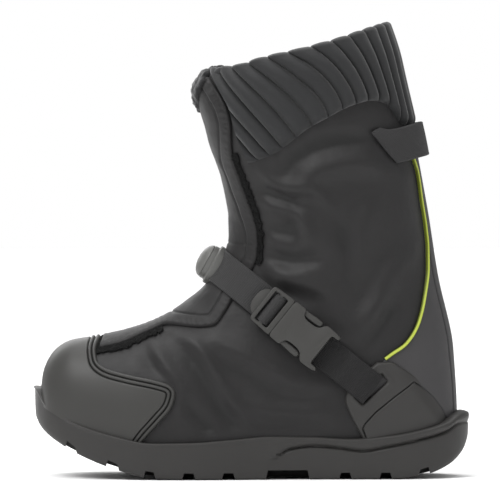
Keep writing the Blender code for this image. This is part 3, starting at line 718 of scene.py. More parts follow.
@dataclass(frozen=True)
class Finish:
    """A finish whose colour drifts slowly over the surface, with a grain in its bump and shade painted darker into its
    grooves, seams and creases.
    """

    name: str
    colour: str
    drift: str
    roughness: float
    ior: float = 1.5
    drift_size: float = 45.0
    grain_size: float = 0.9
    grain_depth: float = 0.05
    # Colour of the painted shade that the shade attribute mixes in.
    painted_shade_colour: str = "#121212"
    rough_drift: float = 0.08
    coat: float = 0.0
    sheen: float = 0.0
    sheen_roughness: float = 0.5
    specular: float = 0.3
    spot_size: float = 9.0
    coat_roughness: float = 0.35

    def pattern(self, tree: bpy.types.NodeTree, place: bpy.types.NodeSocket) -> bpy.types.NodeSocket:
        """Heights of the fine grain, in millimetres.

        Args:
            tree: material's nodes.
            place: coordinates in metres.

        Returns:
            The socket with the heights.
        """
        grain = add_node(tree, "TexNoise", {"Scale": 1 / (self.grain_size * MM), "Detail": 3.0, "Roughness": 0.6},
                         {"Vector": place})
        return add_node(tree, "Math", {"operation": "MULTIPLY", 1: self.grain_depth}, {0: grain.outputs["Fac"]}
                        ).outputs[0]

    def colours(self, tree: bpy.types.NodeTree, place: bpy.types.NodeSocket) -> bpy.types.NodeSocket:
        """Colour over the surface: the slow drift, and the shade painted into grooves, seams and creases on top of it.

        Args:
            tree: material's nodes.
            place: coordinates in metres.

        Returns:
            The socket with the colour.
        """
        cloud = add_node(tree, "TexNoise", {"Scale": 1 / (self.drift_size * MM), "Detail": 4.0, "Roughness": 0.6},
                         {"Vector": place})
        drift = add_node(tree, "Mix", {"data_type": "RGBA", 6: linear(self.colour), 7: linear(self.drift)},
                         {0: cloud.outputs["Fac"]})
        # Painted shade: the shade attribute mixes the painted shade colour into grooves, seams, fold troughs and the
        # piping's sides.
        shade = add_node(tree, "Attribute", {"attribute_name": "shade"})
        return add_node(tree, "Mix", {"data_type": "RGBA", 7: linear(self.painted_shade_colour)},
                        {0: shade.outputs["Fac"], 6: drift.outputs[2]}).outputs[2]

    def build(self) -> bpy.types.Material:
        """Make the material.

        Returns:
            The material.
        """
        material = bpy.data.materials.new(self.name)
        material.use_nodes = True
        tree = material.node_tree
        shader = tree.nodes["Principled BSDF"]
        place = add_node(tree, "TexCoord", {}).outputs["Object"]
        tree.links.new(self.colours(tree, place), shader.inputs["Base Color"])
        spots = add_node(tree, "TexNoise", {"Scale": 1 / (self.spot_size * MM), "Detail": 5.0}, {"Vector": place})
        rough = add_node(tree, "MapRange", {"To Min": self.roughness - self.rough_drift,
                                            "To Max": self.roughness + self.rough_drift},
                         {"Value": spots.outputs["Fac"]})
        tree.links.new(rough.outputs[0], shader.inputs["Roughness"])
        bump = add_node(tree, "Bump", {"Strength": 1.0, "Distance": MM}, {"Height": self.pattern(tree, place)})
        tree.links.new(bump.outputs[0], shader.inputs["Normal"])
        shader.inputs["IOR"].default_value = self.ior
        shader.inputs["Coat Weight"].default_value = self.coat
        shader.inputs["Coat Roughness"].default_value = self.coat_roughness
        shader.inputs["Sheen Weight"].default_value = self.sheen
        shader.inputs["Sheen Roughness"].default_value = self.sheen_roughness
        shader.inputs["Specular IOR Level"].default_value = self.specular
        return material


@dataclass(frozen=True)
class WovenNylon(Finish):
    """Plain-woven nylon under a thin polyurethane coat: a fine thread grid that only just breaks the sheen."""

    thread: float = 0.9
    pucker_size: float = 7.0
    pucker_depth: float = 0.35

    def pattern(self, tree: bpy.types.NodeTree, place: bpy.types.NodeSocket) -> bpy.types.NodeSocket:
        """Threads both ways, drawn coarser than the real 0.2 mm ones so that they show, over small puckers.

        Args:
            tree: material's nodes.
            place: coordinates in metres.

        Returns:
            The socket with the heights.
        """
        warp = add_node(tree, "TexWave", {"bands_direction": "X", "Scale": BAND / (self.thread * MM)},
                        {"Vector": place})
        weft = add_node(tree, "TexWave", {"bands_direction": "Z", "Scale": BAND / (self.thread * MM)},
                        {"Vector": place})
        both = add_node(tree, "Math", {"operation": "MULTIPLY"}, {0: warp.outputs["Fac"], 1: weft.outputs["Fac"]})
        pucker = add_node(tree, "TexNoise", {"Scale": 1 / (self.pucker_size * MM), "Detail": 3.0}, {"Vector": place})
        fine = add_node(tree, "Math", {"operation": "MULTIPLY", 1: self.grain_depth}, {0: both.outputs[0]})
        return add_node(tree, "Math", {"operation": "MULTIPLY_ADD", 1: self.pucker_depth},
                        {0: pucker.outputs["Fac"], 2: fine.outputs[0]}).outputs[0]


@dataclass(frozen=True)
class Webbing(Finish):
    """Woven polyamide webbing: ribs across the band and a herringbone of yarns along it."""

    rib: float = 1.5
    yarn: float = 1.1

    def pattern(self, tree: bpy.types.NodeTree, place: bpy.types.NodeSocket) -> bpy.types.NodeSocket:
        """Ribs and yarns by the place along and across the band.

        Args:
            tree: material's nodes.
            place: coordinates in metres, which are not used.

        Returns:
            The socket with the heights.
        """
        band = add_node(tree, "UVMap", {"uv_map": "band"}).outputs["UV"]
        ribs = add_node(tree, "TexWave", {"bands_direction": "Y", "Scale": BAND / (self.rib * MM)},
                        {"Vector": band})
        yarns = add_node(tree, "TexWave", {"bands_direction": "X", "Scale": BAND / (self.yarn * MM)},
                         {"Vector": band})
        both = add_node(tree, "Math", {"operation": "MULTIPLY"}, {0: ribs.outputs["Fac"], 1: yarns.outputs["Fac"]})
        return add_node(tree, "Math", {"operation": "MULTIPLY", 1: self.grain_depth}, {0: both.outputs[0]}
                        ).outputs[0]


class Finishes:
    """The shoe's finishes, each made once."""

    def __init__(self) -> None:
        """Make the materials."""
        # Coated nylon: matt charcoal with a faint warm sheen along its folds.
        self.nylon = WovenNylon("coated_woven_nylon", "#171617", "#1a1919", 0.54, grain_depth=0.05, sheen=0.09).build()
        # Quilted softshell: flatter and a little bluer than the nylon, with soft light along its channels.
        self.quilted = WovenNylon("quilted_softshell", "#1b1c1d", "#1f1f20", 0.66, grain_depth=0.06, sheen=0.18,
                                  thread=1.1).build()
        # Nylon bonded to a backing: a little darker and flatter than the shell.
        self.flap = WovenNylon("bonded_nylon", "#151415", "#191818", 0.58, grain_depth=0.05, sheen=0.06).build()
        # Compression-moulded rubber: dark grey with a satin skin that catches a broad highlight.
        self.rubber = Finish("moulded_rubber", "#2b2a29", "#302f2e", 0.52, ior=1.52, grain_size=0.7,
                             grain_depth=0.035).build()
        # The toe cap's rubber is polished by the mould: lighter, with a tighter highlight.
        self.toe_rubber = Finish("moulded_toe_rubber", "#31302f", "#373735", 0.47, ior=1.52, grain_size=0.6,
                                 grain_depth=0.03).build()
        # Fabric under a calendered rubber coat: an even dark grey with little gloss.
        self.counter = Finish("rubber_coated_fabric", "#353435", "#3a393a", 0.6, grain_size=0.8,
                              grain_depth=0.04).build()
        # Brushed polyester fleece: nearly black, lit only at its tufts.
        self.fleece = Finish("brushed_fleece", "#1c1c1d", "#212122", 0.95, grain_size=1.4, grain_depth=0.5,
                             sheen=0.3).build()
        # Needled polyester felt: flat and matt, as nothing in it shines.
        self.felt = Finish("needled_felt", "#1a1a1c", "#242425", 0.96, grain_size=1.2, grain_depth=0.35,
                           sheen=0.2).build()
        # Loop pile: the deepest black on the shoe, partly since its loops swallow the light and partly as painted
        # shade for the gap under the flap's edge.
        self.pile = Finish("hook_and_loop_pile", "#050505", "#0c0c0c", 0.98, grain_size=1.1, grain_depth=0.9).build()
        # Woven polyamide: matt ribs that take a faint light on their crests.
        self.webbing = Webbing("woven_polyamide_webbing", "#252425", "#2a2a2a", 0.72, grain_depth=0.22,
                               sheen=0.1).build()
        # The same webbing with shade painted in, for the heel run: darker and rougher, with less light on its ribs.
        self.webbing_painted_shade = Webbing("polyamide_webbing_painted_shade", "#171717", "#1d1c1d", 0.8, grain_depth=0.3).build()
        # Injection-moulded acetal: mid grey, fine spark-eroded texture, lighter on its edges.
        self.plastic = Finish("injection_moulded_acetal", "#373735", "#3c3b3a", 0.42, ior=1.48, grain_size=0.5,
                              grain_depth=0.015).build()
        # Webbing for the pull tab: a shade lighter, with a shallower weave.
        self.tab_webbing = Webbing("charcoal_polyamide_webbing", "#292829", "#2d2d2d", 0.74, grain_depth=0.18).build()
        # Reflective piping: a bright yellow-green core, with shade painted dark olive on the cord's sides.
        self.piping = Finish("coated_polyester_piping", "#acbb37", "#b7c15c", 0.45, painted_shade_colour="#4c5500",
                             grain_size=0.8).build()
        # Injection-moulded nylon: the lightest plastic on the shoe.
        self.guide = Finish("injection_moulded_nylon", "#575755", "#5e5e5c", 0.45, ior=1.53, grain_size=0.5,
                            grain_depth=0.02).build()


@dataclass(frozen=True)
class Fold:
    """A soft ridge with a trough beside it, along a line in the side view."""

    line: tuple
    height: float
    width: float
    trough: float = 0.7
    side: Side | None = Side.OUTER


@dataclass
class Cloth:
    """How the coated nylon lies: its folds, and a gentle waviness everywhere."""

    folds: tuple = (
        Fold(((-80.0, 106.0), (-67.0, 88.0), (-58.0, 74.0), (-46.0, 54.0)), 2.2, 6.0, 0.9),
        Fold(((-61.0, 113.0), (-39.3, 97.0), (-24.1, 72.0), (-3.8, 44.0), (4.0, 32.0)), 3.0, 6.5, 0.9),
        Fold(((-54.5, 69.4), (-44.4, 51.7), (-26.6, 31.4)), -2.4, 5.5, 0.4),
        Fold(((-44.0, 112.0), (-12.0, 96.0), (12.0, 84.0), (34.0, 72.0), (60.0, 70.0)), 2.2, 9.0, 0.8),
        Fold(((-14.0, 60.0), (14.0, 52.0), (44.0, 50.0), (64.0, 46.0)), 1.6, 8.0, 0.8),
        Fold(((21.5, 224.0), (31.6, 239.2), (46.8, 250.3), (67.1, 256.0), (87.4, 257.0), (100.0, 258.0)),
             -3.2, 6.5, 0.2),
        Fold(((30.0, 214.0), (52.0, 232.0), (78.0, 238.0), (104.0, 232.0)), 3.0, 9.0, 0.2),
        Fold(((6.0, 216.0), (21.5, 212.5), (38.0, 206.0)), -2.6, 5.0, 0.9),
        Fold(((8.0, 232.0), (20.0, 222.0), (46.0, 218.0), (60.0, 206.0)), 2.4, 6.5, 0.4),
        Fold(((34.0, 204.0), (42.0, 186.0), (40.0, 172.0)), 2.4, 7.5, 0.8),
        Fold(((12.0, 190.0), (24.0, 186.0), (34.0, 192.0)), -2.0, 5.5, 0.6),
        Fold(((10.0, 168.0), (30.0, 164.0), (58.0, 168.0)), -2.6, 6.0, 0.9),
        Fold(((14.0, 152.0), (36.0, 148.0), (62.0, 142.0)), 2.2, 6.5, 0.6),
        Fold(((112.0, 140.0), (100.0, 120.0), (82.0, 96.0)), -3.0, 5.5, 0.8),
        Fold(((122.0, 172.0), (108.0, 160.0), (92.0, 132.0), (76.0, 110.0)), 2.0, 8.0, 0.6),
        Fold(((96.0, 214.0), (84.0, 190.0), (80.0, 166.0)), 1.6, 9.0, 0.6),
        Fold(((64.0, 200.0), (72.0, 170.0), (66.0, 140.0)), -1.6, 9.0, 0.6),
        Fold(((-70.0, 108.0), (-48.0, 88.0), (-26.0, 60.0), (-12.0, 34.0)), 2.6, 7.0, 0.9, Side.INNER),
        Fold(((-40.0, 112.0), (-10.0, 92.0), (20.0, 78.0), (56.0, 66.0)), 2.4, 8.0, 0.9, Side.INNER),
        Fold(((10.0, 168.0), (34.0, 162.0), (64.0, 168.0)), -2.6, 6.5, 0.9, Side.INNER),
        Fold(((16.0, 214.0), (40.0, 222.0), (70.0, 232.0), (100.0, 226.0)), 2.6, 9.0, 0.7, Side.INNER),
        Fold(((112.0, 142.0), (98.0, 118.0), (82.0, 98.0)), -2.6, 6.0, 0.8, Side.INNER),
        Fold(((50.0, 206.0), (56.0, 180.0), (48.0, 152.0)), 2.0, 9.0, 0.7, Side.INNER),
    )
    strength: float = 1.7
    sharpness: float = 0.82
    waviness: float = 0.9
    wave_length: float = 24.0

    def heights(self, x: np.ndarray, y: np.ndarray, z: np.ndarray) -> np.ndarray:
        """How far the cloth stands out or in at each point.

        Args:
            x: X of the points.
            y: Y of the points.
            z: Z of the points.

        Returns:
            The heights.
        """
        total = ripple(x, y, z, self.wave_length) * self.waviness
        for fold in self.folds:
            line = rounded(fold.line)
            distance, sign, along = to_line(line, x, z)
            length = float(np.linalg.norm(np.diff(line, axis=0), axis=1).sum())
            across = distance * sign
            width = fold.width * self.sharpness
            shape = np.exp(-(across / width) ** 2)
            shape -= fold.trough * np.exp(-((across + 1.7 * width) / (1.2 * width)) ** 2)
            ends = ease(along, 0.0, 0.3 * length) * (1 - ease(along, 0.7 * length, length))
            ends = 0.25 * np.exp(-(distance / fold.width) ** 2) + 0.75 * ends
            total += self.strength * fold.height * shape * ends * ease(fold.side.value * y, -4.0, 22.0)
        return total


CLOTH = Cloth()


class Lines:
    """Outlines in the side view, as X and Z, that the pieces share with the solids."""

    COLLAR_TOP = ((-40.0, 308.5), (-29.5, 310.5), (-12.0, 312.8), (6.0, 318.5), (38.6, 326.4), (66.5, 334.3),
                  (85.9, 341.0), (101.7, 346.0), (120.0, 350.0))
    COLLAR_SEAM = ((-20.0, 232.0), (-1.3, 238.5), (8.4, 242.1), (19.3, 247.0), (32.6, 257.0), (42.3, 264.6),
                   (56.8, 272.6), (66.5, 278.0), (78.6, 283.0), (90.8, 285.6), (99.2, 284.2), (105.3, 278.5),
                   (111.4, 269.0), (125.0, 262.0))
    COLLAR_FRONT = ((-31.5, 330.0), (-29.5, 311.0), (-20.5, 292.0), (-14.4, 280.0), (-11.2, 267.5), (-5.6, 251.0),
                    (0.4, 238.5), (5.0, 225.0))
    CAP_EDGE = ((-113.0, 125.0), (-113.8, 107.2), (-117.6, 95.8), (-116.4, 88.5), (-110.8, 83.4), (-96.8, 79.3),
                (-70.2, 73.9), (-61.5, 71.0), (-57.4, 65.4), (-59.6, 55.7), (-70.2, 42.4), (-81.7, 29.1),
                (-90.0, 15.0))
    FLAP_EDGE = ((-111.0, 125.0), (-112.4, 106.8), (-115.6, 97.4), (-99.4, 100.8), (-77.3, 110.2), (-62.9, 115.5),
                 (-40.1, 114.0), (-28.7, 115.5), (-19.6, 126.2), (-10.0, 143.0), (0.0, 157.0), (4.8, 168.5),
                 (5.4, 182.4), (3.6, 194.0), (-0.4, 206.3), (-8.0, 227.2), (-14.4, 249.3), (-15.0, 267.5),
                 (-17.6, 279.0), (-24.0, 291.5), (-31.5, 303.0))
    PIPING = ((117.0, 252.0), (120.8, 240.9), (123.6, 231.2), (127.0, 208.2), (129.8, 190.0), (131.4, 173.3),
              (131.6, 157.5), (129.8, 140.6), (125.3, 118.8), (116.2, 102.6), (104.5, 94.0), (100.5, 91.0))
    COUNTER_FOOT = ((97.0, 85.5), (75.0, 66.0), (73.5, 60.0), (77.0, 50.0), (87.0, 32.0), (94.0, 20.0))
    STRAP_START = (-25.0, 160.5)
    STRAP_FALL = math.radians(38.7)
    WING = ((94.4, 88.5), (104.1, 88.9), (113.5, 84.0), (122.2, 77.5), (129.0, 71.2), (134.4, 64.2),
            (139.5, 57.6), (144.1, 50.9), (148.9, 40.0), (152.0, 22.0), (88.0, 20.0), (83.5, 31.0), (73.8, 49.7),
            (70.4, 60.6), (72.0, 67.6), (83.0, 78.6))
    WING_SLOT = ((97.6, 79.6), (102.2, 74.0), (83.2, 57.2), (78.2, 62.6))
    WING_PANEL = ((121.5, 73.5), (129.0, 68.8), (136.5, 61.7), (143.0, 52.5), (147.5, 42.0), (149.0, 26.0),
                  (118.0, 20.0), (88.0, 20.0), (85.6, 33.0), (83.2, 38.8), (84.8, 42.0), (93.4, 51.2), (107.4, 62.6))
    TAB = ((90.5, 257.5), (104.0, 251.0), (118.0, 254.0), (140.0, 259.5))


class Sole:
    """The cup sole: its outline, rim, side groove, lugs and the cavity that takes the upper."""

    COLUMNS = ("x", "outer_y", "inner_y", "tread_z", "rim_z", "bed_z")
    STATIONS = (
        (-166.0, 8.0, 8.0, 47.0, 68.5, 46.0),
        (-164.0, -6.0, 22.0, 43.0, 67.0, 45.0),
        (-158.5, -20.0, 34.5, 36.0, 58.0, 42.0),
        (-148.0, -33.5, 45.5, 28.0, 50.0, 36.5),
        (-131.0, -45.5, 54.0, 18.5, 41.2, 29.0),
        (-106.0, -54.5, 58.5, 8.6, 33.3, 22.5),
        (-75.0, -60.0, 59.0, 1.0, 27.6, 18.0),
        (-45.0, -61.0, 56.0, 0.0, 28.0, 17.5),
        (-15.0, -58.0, 51.0, 0.0, 30.2, 18.5),
        (15.0, -54.0, 47.0, 0.0, 32.6, 19.8),
        (45.0, -51.0, 45.5, 0.0, 32.2, 20.6),
        (75.0, -50.5, 46.5, 0.0, 30.8, 21.0),
        (105.0, -50.0, 47.5, 0.0, 33.2, 21.4),
        (130.0, -45.5, 44.5, 2.8, 37.6, 22.0),
        (148.0, -36.5, 36.0, 9.6, 42.6, 24.0),
        (160.0, -23.0, 23.0, 20.0, 49.0, 27.0),
        (164.8, -10.5, 11.0, 29.0, 50.0, 29.0),
        (166.0, 0.0, 0.0, 32.0, 50.0, 30.0),
    )
    # Share of the wall's height from the tread, and how far it lies inside the outline.
    WALL = ((0.0, 4.2), (0.02, 3.0), (0.05, 2.2), (0.09, 1.7), (0.20, 1.3), (0.60, 1.0), (0.86, 0.9), (0.90, 0.5),
            (0.94, 0.1), (0.965, 0.0), (0.985, 0.5), (1.0, 1.8))
    LEVELS = 44
    LIP = 9.0
    STEPS = 9
    GROOVE = ((8.0, 4.0), (15.4, 12.9), (22.0, 19.0), (29.0, 22.8), (47.3, 25.1), (66.3, 23.6), (83.8, 21.3),
              (102.0, 24.3), (127.0, 29.6), (150.0, 36.5), (158.0, 42.0), (170.0, 43.5))
    GROOVE_DEPTH = 2.2
    GROOVE_WIDTH = 1.1
    # X between which the side groove deepens at the arch, and between which it gets shallow at the heel.
    GROOVE_START = (13.0, 22.0)
    GROOVE_END = (148.0, 162.0)
    GROOVE_FADE = 0.7
    # How far the wall over the groove bulges, and how its top is rounded at the heel.
    ROLL = 1.2
    CROWN = 3.4
    CROWN_FROM = 0.82
    CROWN_X = (140.0, 160.0)
    LUG_GROOVES = ((-141.0, -132.0), (-110.0, -100.0), (-81.5, -72.5), (-52.5, -42.5), (-22.5, -12.5), (10.8, 43.5),
                   (66.0, 75.5), (96.5, 106.0), (126.0, 135.0))
    LUG_DEPTH = 5.0
    ARCH_DEPTH = 7.0
    LUG_DRAFT = 1.4
    CHANNELS = ((-128.0, 4.0), (50.0, 122.0))
    # A web between the outer and the inner grooves, beside the middle channel.
    WEB = (-12.0, -5.0)
    CHANNEL_WIDTH = 11.0
    CHANNEL_DEPTH = 4.0
    # Sides and top of the tools that cut the sole, beyond all of it.
    BEYOND_Y = 90.0
    BEYOND_X = 190.0
    BEYOND_Z = 130.0
    FIT = 0.3
    OVERLAP = 1.5

    def above_rim(self, patch: Patch) -> np.ndarray:
        """How far a patch's corners lie above where the pieces end behind the rim."""
        return patch.z - self.line("rim_z", patch.x) + self.OVERLAP

    def line(self, column: str, x: np.ndarray) -> np.ndarray:
        """One of the sole's heights at the wanted X.

        Args:
            column: which height.
            x: where to read it.

        Returns:
            The heights.
        """
        known = [row[0] for row in self.STATIONS]
        values = [row[self.COLUMNS.index(column)] for row in self.STATIONS]
        return smooth(known, values, np.ravel(x))[:, 0].reshape(np.shape(x))

    def outline(self) -> tuple[np.ndarray, int]:
        """Points around the sole, and how many stations each side has.

        Returns:
            The points and the number of stations.
        """
        places = np.linspace(0, len(self.STATIONS) - 1, (len(self.STATIONS) - 1) * self.STEPS + 1)
        stations = smooth(range(len(self.STATIONS)), [row[:3] for row in self.STATIONS], places)
        outer = stations[:, [0, 1]]
        inner = stations[1:-1, [0, 2]][::-1]
        return np.concatenate([outer, inner]), len(stations)

    def body(self) -> Piece:
        """The sole's solid before anything is cut from it.

        Returns:
            The solid.
        """
        outline, stations = self.outline()
        count = len(outline)
        rim = self.line("rim_z", outline[:, 0])
        tangent = np.roll(outline, -1, axis=0) - np.roll(outline, 1, axis=0)
        tangent /= np.linalg.norm(tangent, axis=1, keepdims=True)
        inward = np.stack([-tangent[:, 1], tangent[:, 0]], axis=1)
        shares = np.unique(np.concatenate([np.linspace(0, 1, self.LEVELS), [s for s, _ in self.WALL]]))
        insets = smooth([s for s, _ in self.WALL], [i for _, i in self.WALL], shares)[:, 0]
        points = []
        for share, inset in zip(shares, insets):
            low, high = self.line("tread_z", outline[:, 0]), self.line("rim_z", outline[:, 0])
            level = low + (high - low) * share
            off = level - height_on(self.GROOVE, outline[:, 0])
            there = 1 - self.GROOVE_FADE * ease(outline[:, 0], *self.GROOVE_END)
            there = there * ease(outline[:, 0], *self.GROOVE_START)
            dent = self.GROOVE_DEPTH * np.exp(-(off / self.GROOVE_WIDTH) ** 2)
            roll = np.clip(off / np.maximum(high - height_on(self.GROOVE, outline[:, 0]), 1.0), 0.0, 1.0)
            step = 0.5 * (1 - ease(off, -1.0, 2.0)) - self.ROLL * np.sin(math.pi * roll)
            crown = self.CROWN * max(share - self.CROWN_FROM, 0.0) ** 2 / (1 - self.CROWN_FROM) ** 2
            crown = crown * ease(outline[:, 0], *self.CROWN_X)
            flat = outline + inward * (inset + crown + there * (dent + step))[:, None]
            low, high = self.line("tread_z", flat[:, 0]), self.line("rim_z", flat[:, 0])
            high += (rim - high) * ease(np.array(share), 0.3, 0.95)
            points.append(np.column_stack([flat, low + (high - low) * share]))
        points.append(np.column_stack([outline + inward * self.LIP, rim - 0.4]))
        faces = tube_faces(len(points), count)[:-2]
        for base in (0, len(shares) * count):
            pairs = [(base + i, base + (count - i) % count) for i in range(stations)]
            faces += [tuple(dict.fromkeys((a, c, d, b))) for (a, b), (c, d) in zip(pairs, pairs[1:])]
        return Piece("sole", np.concatenate(points), faces).face_outwards()

    @staticmethod
    def prism(name: str, outline: list, low: float = -BEYOND_Y, high: float = BEYOND_Y) -> Piece:
        """A side view outline that runs across from a low to a high Y.

        Args:
            name: piece's name.
            outline: points as X and Z.
            low: lowest Y.
            high: highest Y.

        Returns:
            The prism.
        """
        points = [(x, y, z) for y in (low, high) for x, z in outline]
        return Piece(name, points, prism_faces(len(outline))).face_outwards()

    def cavity(self) -> Piece:
        """The room for the upper, down to the bed.

        Returns:
            The room's solid.
        """
        x = np.linspace(self.STATIONS[0][0], self.STATIONS[-1][0], 90)
        solid = Piece("cup", *self.closed_last(self.FIT))
        toe = (-self.BEYOND_X, float(self.line("bed_z", np.array(self.STATIONS[0][0]))))
        heel = (self.BEYOND_X, self.STATIONS[-1][-1])
        top = [(self.BEYOND_X, self.BEYOND_Z), (-self.BEYOND_X, self.BEYOND_Z)]
        limit = self.prism("limit", [toe] + list(zip(x, self.line("bed_z", x))) + [heel] + top)
        return solid.face_outwards().cut(limit, "INTERSECT")

    @staticmethod
    def closed_last(offset: float) -> tuple[np.ndarray, list]:
        """Points and faces of the last up to the ankle, closed at both ends.

        Args:
            offset: how far it is grown.

        Returns:
            The points and the faces.
        """
        rows = LAST.spread(0.0, Last.TOP - 3.0, -1.9, 4.0)
        angles = np.linspace(0, 2 * math.pi, 120, endpoint=False)
        grid = LAST.at(rows[:, None], angles[None, :]) + LAST.normals(rows[:, None], angles[None, :]) * offset
        return grid.reshape(-1, 3), tube_faces(len(rows), len(angles))

    def build(self, finishes: Finishes) -> Piece:
        """The whole sole.

        Args:
            finishes: the shoe's finishes.

        Returns:
            The piece.
        """
        sole = self.body()
        sole.cut(self.cavity())
        for first, final in self.LUG_GROOVES:
            depth = self.ARCH_DEPTH if final - first > 20 else self.LUG_DEPTH
            low, high = self.line("tread_z", np.array([first, final]))
            shape = [(first - self.LUG_DRAFT, low - 5), (first + self.LUG_DRAFT, low + depth),
                     (final - self.LUG_DRAFT, high + depth), (final + self.LUG_DRAFT, high - 5)]
            for edge, far in ((self.WEB[0], -self.BEYOND_Y), (self.WEB[1], self.BEYOND_Y)):
                sole.cut(self.prism("groove", shape, min(edge, far), max(edge, far)))
        for first, final in self.CHANNELS:
            x = np.linspace(first, final, 8)
            z = self.line("tread_z", x)
            shape = list(zip(x, z - 5)) + list(zip(x, z + self.CHANNEL_DEPTH))[::-1]
            sole.cut(self.prism("channel", shape, -self.CHANNEL_WIDTH / 2, self.CHANNEL_WIDTH / 2))
        sole.object.name = "moulded_outsole"
        return sole.dress("rubber", finishes.rubber).mount("outsole")


SOLE = Sole()


@dataclass
class Upper:
    """The foot and leg of coated nylon, lined with fleece: one hollow wall."""

    wall: float = 2.4
    cell: float = 2.3
    top_gap: float = 3.0
    # Folds fade out this far before the pieces on top, and between these distances from the strap's middle.
    fade: float = 9.0
    beside_strap: tuple = (9.0, 20.0)
    rounds: int = 4
    deepest: float = -2.9
    slack: float = 0.6
    # Strength of the shade painted into the folds' troughs.
    shading: float = 0.75

    def build(self, finishes: Finishes) -> Piece:
        """The shell, with its folds fading out under the flap, the cap and the cuff.

        Args:
            finishes: the shoe's finishes.

        Returns:
            The piece.
        """
        patch = Patch.over_last((0.0, Last.TOP), (-math.pi, math.pi), self.cell)
        patch.fields["below_top"] = height_on(Lines.COLLAR_TOP, patch.x) - self.top_gap - patch.z
        patch.fields["above_bed"] = patch.z - SOLE.line("bed_z", patch.x) - SOLE.FIT
        patch.keep_above("below_top")
        patch.keep_above("above_bed")
        x, y, z = patch.x, patch.y, patch.z
        under = np.maximum.reduce([inside_outline(CAP, x, z), inside_outline(FLAP, x, z),
                                   z - height_on(Lines.COLLAR_SEAM, x), -(z - SOLE.line("rim_z", x)),
                                   inside_outline(COUNTER, x, z)])
        start_x, start_z = Lines.STRAP_START
        strapped = np.abs((x - start_x) * math.sin(Lines.STRAP_FALL) + (z - start_z) * math.cos(Lines.STRAP_FALL))
        free = (1 - ease(under, -self.fade, 0.0)) * ease(strapped, *self.beside_strap)
        folds = patch.softened(CLOTH.heights(x, y, z), self.rounds)
        # Shade painted darker into the folds' troughs, where they are free of the pieces on top.
        patch.fields["shade"] = self.shading * free * ease(-folds, 0.2, 3.2)
        lining = -self.wall - self.slack * free
        piece = patch.build("nylon_shell", np.maximum(folds, self.deepest) * free, lining, backed=True)
        return piece.dress("nylon", finishes.nylon, finishes.fleece, sharp=60.0).mount("upper")


def closed_with(line: tuple, corners: tuple) -> np.ndarray:
    """A side view line made smooth and closed through more corners."""
    return np.concatenate([rounded(line), np.asarray(corners, dtype=float)])


CAP = closed_with(Lines.CAP_EDGE, ((-200.0, 15.0), (-200.0, 125.0)))
FLAP = closed_with(Lines.FLAP_EDGE, ((-60.0, 305.0), (-200.0, 305.0), (-200.0, 125.0)))
COUNTER = closed_with(Lines.PIPING, Lines.COUNTER_FOOT + ((200.0, 20.0), (200.0, 258.0), (118.0, 256.0)))
WING = np.asarray(rounded(Lines.WING + Lines.WING[:1]))[:-1]
PANEL = np.asarray(Lines.WING_PANEL)
PANEL_STEPS = (-1.1, -0.6, -0.3, 0.0, 0.3, 0.6, 1.1)
PANEL_GROOVE = 0.55
SLOT = np.asarray(Lines.WING_SLOT)


def edge_profile(depth: np.ndarray, round_width: float) -> np.ndarray:
    """Share of the full height near an edge, rounded like a quarter circle."""
    share = np.clip(depth / round_width, 0.0, 1.0)
    return np.sqrt(np.clip(1 - (1 - share) ** 2, 0.0, 1.0))


@dataclass
class ToeCap:
    """The moulded cap over the toe, with two raised bands along its edge and a stitched groove beside each."""

    cell: float = 1.9
    height: float = 2.5
    start: float = 0.1
    grooves: tuple = (3.3, 6.4)
    groove_depth: float = 1.2
    groove_width: float = 0.5
    band_rise: float = 0.55
    rim_steps: tuple = (0.3, 0.8, 1.6)
    groove_steps: tuple = (-1.6, -0.9, -0.45, 0.0, 0.45, 0.9)
    last_steps: tuple = (1.8, 3.2)

    def build(self, finishes: Finishes) -> Piece:
        """The cap down to the sole's rim.

        Args:
            finishes: the shoe's finishes.

        Returns:
            The piece.
        """
        patch = Patch.over_last((0.0, 10.5), (-math.pi, math.pi), self.cell)
        patch.fields["rim"] = SOLE.above_rim(patch)
        patch.fields["edge"] = inside_outline(CAP, patch.x, patch.z)
        patch.keep_above("edge")
        patch.keep_above("rim")
        steps = set(self.rim_steps) | {groove + step for groove in self.grooves for step in self.groove_steps}
        steps |= {self.grooves[-1] + step for step in self.last_steps}
        patch.steps_at("edge", tuple(sorted(steps)))
        depth = patch.fields["edge"]
        height = self.start + self.height * edge_profile(depth, 1.6)
        shade = np.zeros(len(depth))
        start = 0.0
        for groove in self.grooves:
            share = np.clip((depth - start) / (groove - start), 0.0, 1.0)
            height += self.band_rise * np.sin(math.pi * share)
            cut = np.exp(-((depth - groove) / self.groove_width) ** 2)
            height -= self.groove_depth * cut
            # Shade is painted darker into each groove.
            shade = np.maximum(shade, 0.75 * cut)
            start = groove
        patch.fields["shade"] = shade
        piece = patch.build("moulded_toe_cap", height, self.start - 0.3)
        return piece.weld().dress("rubber", finishes.toe_rubber, sharp=75.0).mount("toe_cap")


